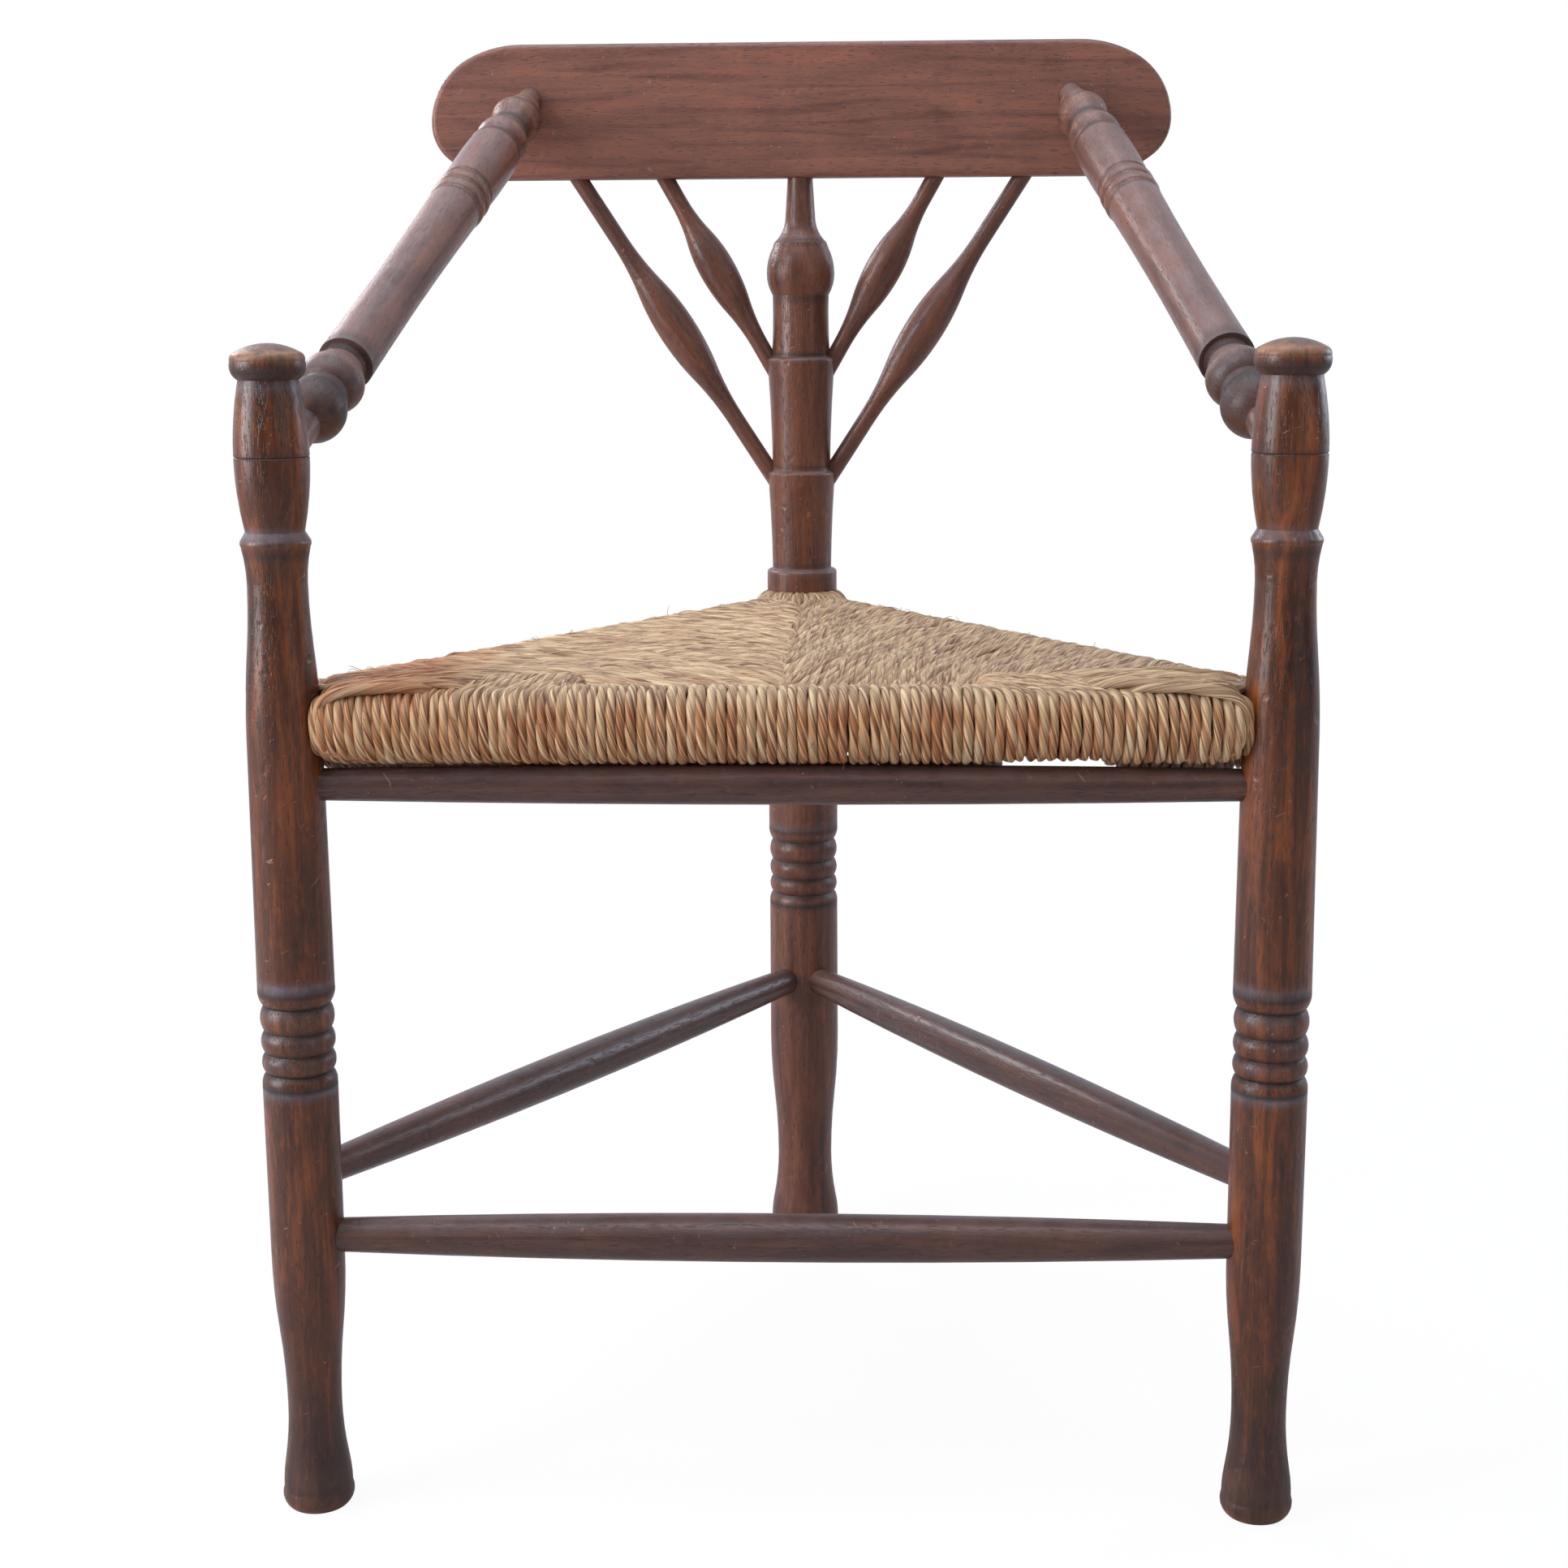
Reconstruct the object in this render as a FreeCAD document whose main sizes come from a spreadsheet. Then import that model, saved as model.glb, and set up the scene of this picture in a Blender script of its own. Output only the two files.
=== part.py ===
import FreeCAD, Part
import math
import os

import Sketcher
from FreeCAD import Placement, Rotation, Vector

# Corner chair: two turned front posts and one turned back post carry a rush
# seat, a crest rail, two sloping turned arms, four splayed spindles and a row
# of stretchers. X runs to the sitter's left-right, Y from front to back, Z up.
# The origin is the middle of the chair's footprint, on the floor.

# Every driving size, in millimetres. Heights are measured from the floor and
# radii from the axis of the turned piece.
SIZES = {
    # plan of the three posts
    "post_half_span": 250.0,
    "post_depth": 399.2,
    "joint_clearance": 0.1,
    "rush_clearance": 0.3,
    # foot and lower shaft of the front posts
    "front_base_radius": 15.8,
    "front_foot_radius": 18.2,
    "front_ankle_radius": 14.2,
    "front_shin_radius": 19.1,
    "front_low_radius": 19.35,
    "front_thigh_radius": 19.8,
    "front_seat_radius": 18.95,
    # foot and lower shaft of the back post
    "back_base_radius": 19.6,
    "back_foot_radius": 22.7,
    "back_ankle_radius": 18.1,
    "back_shin_radius": 22.8,
    "back_low_radius": 22.6,
    "back_seat_radius": 22.7,
    # heights shared by the three posts
    "foot_height": 10.2,
    "ankle_height": 57.0,
    "shin_height": 142.0,
    "ankle_share": 0.32,
    "shin_share": 0.5,
    # three beads between two rounded shoulders
    "bead_start": 234.5,
    "bead_groove_a": 241.7,
    "bead_groove_b": 252.4,
    "bead_groove_c": 264.0,
    "bead_groove_d": 277.5,
    "bead_end": 286.0,
    "bead_groove_depth": 2.3,
    "bead_bulge": 2.0,
    # upper half of the front posts
    "front_seat_height": 411.0,
    "front_neck_height": 495.4,
    "front_neck_radius": 15.05,
    "front_neck_share": 0.6,
    "front_ring_height": 515.0,
    "front_ring_radius": 17.6,
    "front_ring_edge": 17.2,
    "front_ring_half": 1.7,
    "barrel_bottom": 520.7,
    "barrel_bottom_radius": 14.8,
    "barrel_middle": 557.5,
    "barrel_radius": 18.65,
    "barrel_top": 595.0,
    "barrel_top_radius": 14.9,
    "scribe_depth": 0.5,
    "scribe_half": 0.6,
    "cap_rise": 9.2,
    "cap_radius": 18.4,
    "cap_rim_rise": 13.6,
    "cap_rim_radius": 16.0,
    "cap_apex_rise": 17.9,
    "cap_under_round": 8.2,
    "cap_rim_round": 3.9,
    # upper half of the back post
    "collar_height": 456.4,
    "collar_round": 2.4,
    "stage_foot_radius": 19.1,
    "stage_radius": 21.8,
    "stage_waist_radius": 18.7,
    "stage_low_height": 522.2,
    "stage_high_height": 595.0,
    "stage_round": 1.7,
    "stage_step": 0.8,
    "stage_hollow": 960.0,
    "stage_top_hollow": 450.0,
    "ball_bottom": 634.6,
    "ball_bottom_radius": 18.0,
    "ball_height": 648.0,
    "ball_radius": 21.75,
    "ball_top": 665.0,
    "ball_top_radius": 17.7,
    "bell_edge": 667.6,
    "bell_edge_radius": 16.8,
    "bell_waist": 684.0,
    "bell_waist_radius": 9.5,
    "back_neck_radius": 8.0,
    "back_tenon_radius": 6.4,
    "back_tenon_length": 32.0,
    # crest rail
    "crest_bottom": 707.7,
    "crest_height": 83.1,
    "crest_half_length": 233.8,
    "crest_thickness": 20.0,
    "crest_side_rise": 34.8,
    "crest_top_reach": 58.0,
    "crest_top_side_round": 45.0,
    "crest_under_reach": 47.0,
    "crest_under_side_round": 28.0,
    "crest_edge_round": 3.5,
    # arms
    "arm_low": 551.9,
    "arm_high_rise": 46.9,
    "arm_half_spread": 171.5,
    "arm_tenon_start": 5.0,
    "arm_tenon_radius": 9.4,
    "arm_ball_centre": 58.2,
    "arm_ball_radius": 17.4,
    "arm_ball_end": 68.9,
    "arm_fillet_end": 73.6,
    "arm_fillet_radius": 13.2,
    "arm_valley": 76.0,
    "arm_valley_radius": 12.5,
    "arm_ring_centre": 86.6,
    "arm_ring_radius": 17.1,
    "arm_ridge": 92.4,
    "arm_ridge_radius": 15.6,
    "arm_ridge_round": 11.0,
    "arm_cove_end": 106.6,
    "arm_cove_radius": 12.6,
    "arm_cove_round": 17.0,
    "arm_shaft_low_radius": 15.1,
    "arm_waist": 190.0,
    "arm_waist_radius": 14.4,
    "arm_shaft_low_bow": 9000.0,
    "arm_shaft_high_bow": 4200.0,
    "arm_rings_back": 153.8,
    "arm_ring_pitch": 11.0,
    "arm_ring_bow": 8.0,
    "arm_groove_width": 3.6,
    "arm_groove_round": 2.4,
    "arm_rings_radius": 15.8,
    "arm_swell_back": 95.8,
    "arm_swell_radius": 16.5,
    "arm_swell_bow": 700.0,
    "arm_shoulder_bow": 400.0,
    "arm_shoulder_round": 9.0,
    "arm_shoulder_back": 74.8,
    "arm_shoulder_radius": 16.1,
    "arm_shaft_end_back": 67.8,
    "arm_shaft_end_radius": 14.2,
    "arm_bead_radius": 15.9,
    "arm_bead_valley_back": 43.3,
    "arm_bead_valley_radius": 12.2,
    "arm_small_bead_radius": 14.3,
    "arm_small_bead_back": 18.3,
    "arm_neck_radius": 9.3,
    "arm_end_bead_radius": 10.4,
    "arm_crest_radius": 8.3,
    "arm_crest_depth": 12.0,
    # spindles, all in the plane of the back post and the crest rail
    "spindle_end_radius": 5.4,
    "spindle_depth": 14.0,
    "spindle_inner_reach": 12.5,
    "spindle_flare_share": 0.52,
    "outer_spindle_top": 141.0,
    "outer_spindle_slope": 0.649,
    "outer_spindle_radius": 12.1,
    "outer_spindle_low_drop": 151.7,
    "outer_spindle_middle_drop": 94.2,
    "outer_spindle_high_drop": 38.7,
    "inner_spindle_top": 85.7,
    "inner_spindle_slope": 0.57,
    "inner_spindle_radius": 11.5,
    "inner_spindle_low_drop": 104.7,
    "inner_spindle_middle_drop": 56.2,
    "inner_spindle_high_drop": 14.2,
    # seat rails, hidden in the rush
    "rail_radius": 11.5,
    "rail_tenon_radius": 6.0,
    "rail_front_depth": 7.0,
    "rail_back_depth": 11.0,
    "side_rail_height": 425.4,
    "front_rail_drop": 2.8,
    # rush seat
    "rush_rise": 17.6,
    "rush_thickness": 38.0,
    "rush_reach": 18.0,
    "rush_round": 17.0,
    # front rail under the seat and the stretchers
    "apron_drop": 32.9,
    "apron_radius": 10.2,
    "apron_end_radius": 8.3,
    "front_stretcher_height": 151.2,
    "front_stretcher_radius": 12.7,
    "front_stretcher_end_radius": 9.0,
    "side_stretcher_height": 182.8,
    "side_stretcher_radius": 12.0,
    "side_stretcher_end_radius": 8.6,
    "rung_depth": 12.0,
    "rung_back_depth": 8.0,
}

doc = FreeCAD.newDocument("corner_chair")
sheet = doc.addObject("Spreadsheet::Sheet", "Sizes")
for row, (alias, number) in enumerate(SIZES.items(), start=1):
    sheet.set(f"A{row}", alias)
    sheet.set(f"B{row}", str(number))
    sheet.setAlias(f"B{row}", alias)
doc.recompute()


def cell(text):
    """Expression text with every size name pointed at the sheet."""
    words = []
    word = ""
    for letter in text + " ":
        if letter.isalnum() or letter == "_":
            word += letter
            continue
        words.append("Sizes." + word if word in SIZES else word)
        words.append(letter)
        word = ""
    return "".join(words).strip()


def value(text):
    """Number that an expression text gives with the sheet's sizes."""
    return float(sheet.evalExpression(cell(text)))


# The three post axes on the plan, with the footprint's middle at the origin.
FRONT_Y = "((front_thigh_radius - back_shin_radius - post_depth) / 2)"
BACK_Y = f"({FRONT_Y} + post_depth)"
FRONT_RAIL_Z = "(side_rail_height - front_rail_drop)"
APRON_Z = "(side_rail_height - apron_drop)"
RUSH_BOTTOM_Z = "(side_rail_height + rush_rise - rush_thickness)"
CREST_FACE_Y = f"({BACK_Y} - crest_thickness / 2)"
ARM_LENGTH = (
    "sqrt((post_half_span - arm_half_spread)^2"
    " + (post_depth - crest_thickness / 2)^2 + (crest_bottom + arm_high_rise - arm_low)^2)"
)


def at(x, y, z):
    """Point from three expression texts."""
    return Vector(value(x), value(y), value(z))


def line(height, radius):
    """Straight stretch of a turned outline up to the given point."""
    return (radius, height, None)


def curve(height, radius, bend):
    """Arc up to the given point; a leading minus makes it hollow."""
    return (radius, height, bend)


def arc_size(low, low_radius, high, high_radius):
    """Radius of an arc that runs along the axis at one of its two ends."""
    rise = f"(({high}) - ({low}))"
    step = f"(({high_radius}) - ({low_radius}))"
    return f"(({rise}^2 + {step}^2) / (2 * abs({step})))"


def ogee(low, low_radius, high, high_radius, share):
    """Two tangent arcs between points where the outline runs along the axis."""
    total = arc_size(low, low_radius, high, high_radius)
    growing = value(high_radius) > value(low_radius)
    middle = f"({low}) + ({share}) * (({high}) - ({low}))"
    middle_radius = f"({low_radius}) + ({share}) * (({high_radius}) - ({low_radius}))"
    return [
        curve(middle, middle_radius, ("-" if growing else "") + f"({share}) * {total}"),
        curve(high, high_radius, ("" if growing else "-") + f"(1 - ({share})) * {total}"),
    ]


def plane(body, role):
    """Origin plane of a body by its role."""
    return next(part for part in body.Origin.OriginFeatures if part.Role == role)


def bind(sketch, kind, geometry, point, text):
    """Distance from the sketch's origin to a point, driven by the sheet."""
    size = value(text)
    if abs(size) < 1e-9:
        axis = -2 if kind == "DistanceX" else -1
        sketch.addConstraint(
            Sketcher.Constraint("PointOnObject", geometry, point, axis)
        )
        return
    if size < 0:
        entry = Sketcher.Constraint(kind, geometry, point, -1, 1, -size)
        text = f"-({text})"
    else:
        entry = Sketcher.Constraint(kind, -1, 1, geometry, point, size)
    index = sketch.addConstraint(entry)
    sketch.setExpression(f"Constraints[{index}]", cell(text))


def arc_between(start, end, radius, hollow):
    """Short arc that bulges to the right of its travel, or to the left if hollow."""
    chord = end - start
    half = chord.Length / 2
    reach = math.sqrt(max(radius * radius - half * half, 0.0))
    outward = Vector(chord.y, -chord.x, 0) / chord.Length
    if hollow:
        outward = outward * -1
    middle = (start + end) / 2 + outward * (radius - reach)
    return Part.Arc(start, middle, end)


def closed_sketch(body, name, role, steps):
    """Closed sketch of lines and arcs on one of the body's own origin planes.

    The steps are (x, y, bend) texts in counterclockwise order; each bend
    belongs to the stretch that ends at its point.
    """
    sketch = body.newObject("Sketcher::SketchObject", name)
    sketch.AttachmentSupport = (plane(body, role), [""])
    sketch.MapMode = "FlatFace"
    corners = [Vector(value(x), value(y), 0) for x, y, bend in steps]
    ends = []
    for index, (x, y, bend) in enumerate(steps):
        start, end = corners[index - 1], corners[index]
        if bend is None:
            geometry = sketch.addGeometry(Part.LineSegment(start, end))
        else:
            size = bend.lstrip("-")
            arc = arc_between(start, end, value(size), bend.startswith("-"))
            geometry = sketch.addGeometry(arc)
        forward = (sketch.getPoint(geometry, 1) - start).Length < 1e-6
        ends.append((geometry, 1, 2) if forward else (geometry, 2, 1))
    for index, (x, y, bend) in enumerate(steps):
        geometry, first, last = ends[index]
        before, _, before_last = ends[index - 1]
        sketch.addConstraint(
            Sketcher.Constraint("Coincident", before, before_last, geometry, first)
        )
        bind(sketch, "DistanceX", geometry, last, x)
        bind(sketch, "DistanceY", geometry, last, y)
        if bend is not None:
            size = bend.lstrip("-")
            entry = Sketcher.Constraint("Radius", geometry, value(size))
            row = sketch.addConstraint(entry)
            sketch.setExpression(f"Constraints[{row}]", cell(size))
    return sketch


def turned(name, outline):
    """Body turned about its own Z axis from an outline read from low to high."""
    body = doc.addObject("PartDesign::Body", name + "_body")
    steps = [("0", outline[0][1], None)] + outline
    if abs(value(outline[-1][0])) > 1e-9:
        steps = steps + [("0", outline[-1][1], None)]
    sketch = closed_sketch(body, name + "_outline", "XZ_Plane", steps)
    turning = body.newObject("PartDesign::Revolution", name + "_turning")
    turning.Profile = sketch
    turning.ReferenceAxis = (sketch, ["V_Axis"])
    turning.Angle = 360
    return body


def along(start, end):
    """Placement that lays a piece's own Z axis from one point to another."""
    return Placement(start, Rotation(Vector(0, 0, 1), end - start))


def peg(name, start, end, radius, length):
    """Round tool for a mortise, its axis starting at one point toward another."""
    tool = doc.addObject("Part::Cylinder", name)
    tool.setExpression("Radius", cell(radius))
    tool.setExpression("Height", cell(length))
    tool.Placement = along(start, end)
    return tool


def finish(label, piece, tools):
    """Final piece: the given solid less its mortises."""
    if not tools:
        piece.Label = label
        return piece
    tool = tools[0]
    if len(tools) > 1:
        tool = doc.addObject("Part::MultiFuse", label + "_mortises")
        tool.Shapes = tools
    cut = doc.addObject("Part::Cut", label + "_cut")
    cut.Base = piece
    cut.Tool = tool
    cut.Label = label
    return cut


def beads(body_radius):
    """Shoulder, three beads and shoulder of a post."""
    groove = f"({body_radius} - bead_groove_depth)"
    marks = ["bead_groove_a", "bead_groove_b", "bead_groove_c", "bead_groove_d"]
    steps = [line("bead_start", body_radius)]
    steps.append(curve(marks[0], groove, "9"))
    for low, high in zip(marks, marks[1:]):
        size = f"(({high} - {low})^2 / (8 * bead_bulge) + bead_bulge / 2)"
        steps.append(curve(high, groove, size))
    return steps


def lower_post(kind):
    """Outline from the floor up to the beads of a front or back post."""
    base, foot, ankle = (f"{kind}_{part}_radius" for part in ("base", "foot", "ankle"))
    shin, low = f"{kind}_shin_radius", f"{kind}_low_radius"
    steps = [line("0", base), curve("foot_height", foot, "9")]
    steps += ogee("foot_height", foot, "ankle_height", ankle, "ankle_share")
    steps += ogee("ankle_height", ankle, "shin_height", shin, "shin_share")
    return steps + beads(low)


def front_post_outline():
    """Full outline of a front post."""
    steps = lower_post("front")
    steps.append(curve("bead_end", "front_thigh_radius", "12"))
    steps.append(line("front_seat_height", "front_seat_radius"))
    steps += ogee(
        "front_seat_height",
        "front_seat_radius",
        "front_neck_height",
        "front_neck_radius",
        "front_neck_share",
    )
    steps.append(
        curve("front_ring_height - front_ring_half", "front_ring_edge", "-80")
    )
    steps.append(
        curve("front_ring_height + front_ring_half", "front_ring_edge", "3.2")
    )
    steps.append(line("barrel_bottom", "barrel_bottom_radius"))
    low_size = "((barrel_middle - barrel_bottom)^2 / (2 * (barrel_radius - barrel_bottom_radius)))"
    high_size = "((barrel_top - barrel_middle)^2 / (2 * (barrel_radius - barrel_top_radius)))"
    steps.append(curve("barrel_middle - scribe_half", "barrel_radius", low_size))
    steps.append(line("barrel_middle", "barrel_radius - scribe_depth"))
    steps.append(line("barrel_middle + scribe_half", "barrel_radius"))
    steps.append(curve("barrel_top", "barrel_top_radius", high_size))
    steps.append(curve("barrel_top + cap_rise", "cap_radius", "cap_under_round"))
    steps.append(curve("barrel_top + cap_rim_rise", "cap_rim_radius", "cap_rim_round"))
    dome_size = (
        "((cap_rim_radius^2 + (cap_apex_rise - cap_rim_rise)^2)"
        " / (2 * (cap_apex_rise - cap_rim_rise)))"
    )
    steps.append(curve("barrel_top + cap_apex_rise", "0", dome_size))
    return steps


def back_post_outline():
    """Full outline of the back post with its neck and crest tenon."""
    steps = lower_post("back")
    steps.append(curve("bead_end", "back_shin_radius", "12"))
    steps.append(line("collar_height", "back_seat_radius"))
    steps.append(
        curve(
            "collar_height + collar_round",
            "back_seat_radius - collar_round",
            "collar_round",
        )
    )
    steps.append(line("collar_height + collar_round + stage_step", "stage_foot_radius"))
    for height in ("stage_low_height", "stage_high_height"):
        steps.append(curve(f"{height} - stage_round", "stage_radius", "-stage_hollow"))
        steps.append(curve(height, "stage_radius - stage_round", "stage_round"))
        steps.append(line(f"{height} + stage_step", "stage_waist_radius"))
    steps.append(curve("ball_bottom", "ball_bottom_radius", "-stage_top_hollow"))
    low_size = arc_size("ball_bottom", "ball_bottom_radius", "ball_height", "ball_radius")
    high_size = arc_size("ball_top", "ball_top_radius", "ball_height", "ball_radius")
    steps.append(curve("ball_height", "ball_radius", low_size))
    steps.append(curve("ball_top", "ball_top_radius", high_size))
    steps.append(line("bell_edge", "bell_edge_radius"))
    bell_size = arc_size("bell_edge", "bell_edge_radius", "bell_waist", "bell_waist_radius")
    steps.append(curve("bell_waist", "bell_waist_radius", "-" + bell_size))
    steps.append(line("crest_bottom", "back_neck_radius"))
    steps.append(line("crest_bottom", "back_tenon_radius"))
    steps.append(line("crest_bottom + back_tenon_length", "back_tenon_radius"))
    return steps


def arm_outline():
    """Outline of an arm, its length running from the front post's axis."""
    rings, swell, shoulder, shaft_end, valley, small_end = (
        f"({ARM_LENGTH} - arm_{part}_back)"
        for part in ("rings", "swell", "shoulder", "shaft_end", "bead_valley", "small_bead")
    )
    ball_start = "arm_ball_centre - sqrt(arm_ball_radius^2 - arm_tenon_radius^2)"
    ball_end_radius = "sqrt(arm_ball_radius^2 - (arm_ball_end - arm_ball_centre)^2)"
    ring_rise = arc_size("arm_valley", "arm_valley_radius", "arm_ring_centre", "arm_ring_radius")
    steps = [
        line("arm_tenon_start", "arm_tenon_radius"),
        line(ball_start, "arm_tenon_radius"),
        curve("arm_ball_centre", "arm_ball_radius", "arm_ball_radius"),
        curve("arm_ball_end", ball_end_radius, "arm_ball_radius"),
        line("arm_fillet_end", "arm_fillet_radius"),
        line("arm_valley", "arm_valley_radius"),
        curve("arm_ring_centre", "arm_ring_radius", ring_rise),
        curve("arm_ridge", "arm_ridge_radius", "arm_ridge_round"),
        curve("arm_cove_end", "arm_cove_radius", "-arm_cove_round"),
        line("arm_cove_end", "arm_shaft_low_radius"),
        curve("arm_waist", "arm_waist_radius", "-arm_shaft_low_bow"),
        curve(rings, "arm_rings_radius", "-arm_shaft_high_bow"),
    ]
    for ring in range(3):
        start = f"{rings} + {ring} * arm_ring_pitch"
        if ring:
            steps.append(curve(start, "arm_rings_radius", "arm_ring_bow"))
        groove_end = f"{start} + arm_groove_width"
        steps.append(curve(groove_end, "arm_rings_radius", "-arm_groove_round"))
    steps += [
        curve(swell, "arm_swell_radius", "arm_swell_bow"),
        curve(shoulder, "arm_shoulder_radius", "arm_shoulder_bow"),
        curve(shaft_end, "arm_shaft_end_radius", "arm_shoulder_round"),
        line(f"{shaft_end} + 1.2", "arm_shaft_end_radius - 1.4"),
        curve(f"{shaft_end} + 10.5", "arm_bead_radius", "13"),
        curve(f"{shaft_end} + 15.5", "arm_bead_radius - 1.6", "9"),
        curve(valley, "arm_bead_valley_radius", "-16"),
        curve(f"{valley} + 11.5", "arm_small_bead_radius", "-15"),
        curve(small_end, "arm_neck_radius", "9.5"),
        curve(f"{small_end} + 8", "arm_end_bead_radius", "9"),
        curve(f"{small_end} + 12.5", "arm_crest_radius", "5"),
        line(f"{ARM_LENGTH} + arm_crest_depth", "arm_crest_radius"),
    ]
    return steps


def spindle_outline(kind):
    """Outline of a spindle, its length running up from its lower end."""
    slant = f"sqrt(1 + {kind}_spindle_slope^2)"
    foot = f"(crest_bottom - ({kind}_spindle_top - spindle_inner_reach) / {kind}_spindle_slope)"
    end = "spindle_end_radius"
    marks = [
        f"(crest_bottom - {kind}_spindle_{part}_drop - {foot}) * {slant}"
        for part in ("low", "middle", "high")
    ]
    top = f"(crest_bottom - {foot}) * {slant} + spindle_depth"
    steps = [line("0", end), line(marks[0], end)]
    steps += ogee(marks[0], end, marks[1], f"{kind}_spindle_radius", "spindle_flare_share")
    steps += ogee(
        marks[1], f"{kind}_spindle_radius", marks[2], end, "(1 - spindle_flare_share)"
    )
    steps.append(line(top, end))
    return steps


def rung_outline(length, low_depth, high_depth, end, middle):
    """Outline of a rung that swells to the middle of its length."""
    low = f"({low_depth} + joint_clearance)"
    high = f"({length} - {high_depth} - joint_clearance)"
    sag = f"({middle} - {end})"
    size = f"(({high} - {low})^2 / (8 * {sag}) + {sag} / 2)"
    return [line("0", end), line(low, end), curve(high, end, size), line(length, end)]


def rail_outline(length, low_depth, high_depth):
    """Outline of a seat rail with a round tenon at each end."""
    low = f"({low_depth} + joint_clearance)"
    high = f"({length} - {high_depth} - joint_clearance)"
    return [
        line("0", "rail_tenon_radius"),
        line(low, "rail_tenon_radius"),
        line(low, "rail_radius"),
        line(high, "rail_radius"),
        line(high, "rail_tenon_radius"),
        line(length, "rail_tenon_radius"),
    ]


def crest_outline():
    """Board outline whose ends are baskets of two arcs above and below."""
    half, side = "crest_half_length", "(crest_bottom + crest_side_rise)"
    corners = []
    for edge, reach, round_side, sign in (
        ("crest_bottom", "crest_under_reach", "crest_under_side_round", "-1"),
        ("(crest_bottom + crest_height)", "crest_top_reach", "crest_top_side_round", "1"),
    ):
        rise = f"({sign} * ({edge} - {side}))"
        large = (
            f"(({reach}^2 + {rise}^2 - 2 * {reach} * {round_side})"
            f" / (2 * ({rise} - {round_side})))"
        )
        apart = f"({large} - {round_side})"
        x = f"{half} - {round_side} + {round_side} * ({reach} - {round_side}) / {apart}"
        y = f"{side} + {sign} * {round_side} * ({large} - {rise}) / {apart}"
        corners.append((f"{half} - {reach}", edge, x, y, large, round_side))
    low, high = corners
    right = [
        (low[0], low[1], None),
        (low[2], low[3], low[4]),
        (half, side, low[5]),
        (high[2], high[3], high[5]),
        (high[0], high[1], high[4]),
    ]
    bends = [None, high[4], high[5], low[5], low[4]]
    left = [
        (f"-({x})", y, bend) for (x, y, _), bend in zip(reversed(right), bends)
    ]
    return right + left


def bounded_edges(shape, test):
    """Names of the edges whose two ends both pass a test."""
    names = []
    for index, edge in enumerate(shape.Edges, start=1):
        if all(test(vertex.Point) for vertex in edge.Vertexes):
            names.append((f"Edge{index}", edge.Length))
    return names


def crest_board():
    """Crest rail before its mortises, with softened edges."""
    body = doc.addObject("PartDesign::Body", "crest_rail_body")
    sketch = closed_sketch(body, "crest_rail_outline", "XZ_Plane", crest_outline())
    pad = body.newObject("PartDesign::Pad", "crest_rail_board")
    pad.Profile = sketch
    pad.Midplane = True
    pad.setExpression("Length", cell("crest_thickness"))
    doc.recompute()
    half = value("crest_thickness") / 2
    names = []
    for side in (-1, 1):
        found = bounded_edges(pad.Shape, lambda p: abs(p.y - side * half) < 1e-6)
        names += [name for name, length in found]
    edges = body.newObject("PartDesign::Fillet", "crest_rail_edges")
    edges.Base = (pad, names)
    edges.setExpression("Radius", cell("crest_edge_round"))
    return body


def rush_body():
    """Woven seat before the posts and rails are taken out of it."""
    side = "sqrt(post_half_span^2 + post_depth^2)"
    out_x = f"rush_reach * post_depth / {side}"
    out_y = f"rush_reach * post_half_span / {side}"
    points = [
        ("-post_half_span", "-rush_reach"),
        ("post_half_span", "-rush_reach"),
        ("post_half_span", "0"),
        (f"post_half_span + {out_x}", out_y),
        (out_x, f"post_depth + {out_y}"),
        ("0", "post_depth"),
        (f"-({out_x})", f"post_depth + {out_y}"),
        (f"-(post_half_span + {out_x})", out_y),
        ("-post_half_span", "0"),
    ]
    body = doc.addObject("PartDesign::Body", "rush_seat_body")
    steps = [(x, y, None) for x, y in points]
    sketch = closed_sketch(body, "rush_seat_plan", "XY_Plane", steps)
    pad = body.newObject("PartDesign::Pad", "rush_seat_panel")
    pad.Profile = sketch
    pad.setExpression("Length", cell("rush_thickness"))
    doc.recompute()
    thick = value("rush_thickness")
    names = []
    for height in (0.0, thick):
        found = bounded_edges(pad.Shape, lambda p: abs(p.z - height) < 1e-6)
        names += [name for name, length in found if length > 5 * thick]
    rolls = body.newObject("PartDesign::Fillet", "rush_seat_rolls")
    rolls.Base = (pad, names)
    rolls.setExpression("Radius", cell("rush_round"))
    return body


def front_axis(side, height):
    """Point on the axis of a front post."""
    return at(f"{side} * post_half_span", FRONT_Y, height)


def back_axis(height):
    """Point on the axis of the back post."""
    return at("0", BACK_Y, height)


def shifted(start, end, text):
    """Point at a distance from the start on the way to the end."""
    way = end - start
    return start + way * (value(text) / way.Length)


SIDES = ((-1, "left"), (1, "right"))
SIDE_SPAN = "sqrt(post_half_span^2 + post_depth^2)"
pieces = []
mortises = {"left": [], "right": [], "back": [], "crest": []}
rush_tools = []


def add_rung(label, start, end, length, insets, depths, radii, owners, rail=False):
    """Rung or seat rail between two posts, with its mortises."""
    low_inset, high_inset = insets
    own = f"({length} - {low_inset} - {high_inset})"
    if rail:
        outline = rail_outline(own, *depths)
    else:
        outline = rung_outline(own, *depths, *radii)
    body = turned(label, outline)
    body.Placement = along(shifted(start, end, low_inset), end)
    pieces.append((label, body, None))
    bore = f"{radii[0]} + joint_clearance"
    ends = ((start, end, low_inset), (end, start, high_inset))
    for owner, (here, there, inset), depth in zip(owners, ends, depths):
        foot = shifted(here, there, inset)
        tool = peg(f"{label}_{owner}_bore", foot, there, bore, f"{depth} + 10")
        mortises[owner].append(tool)


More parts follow.
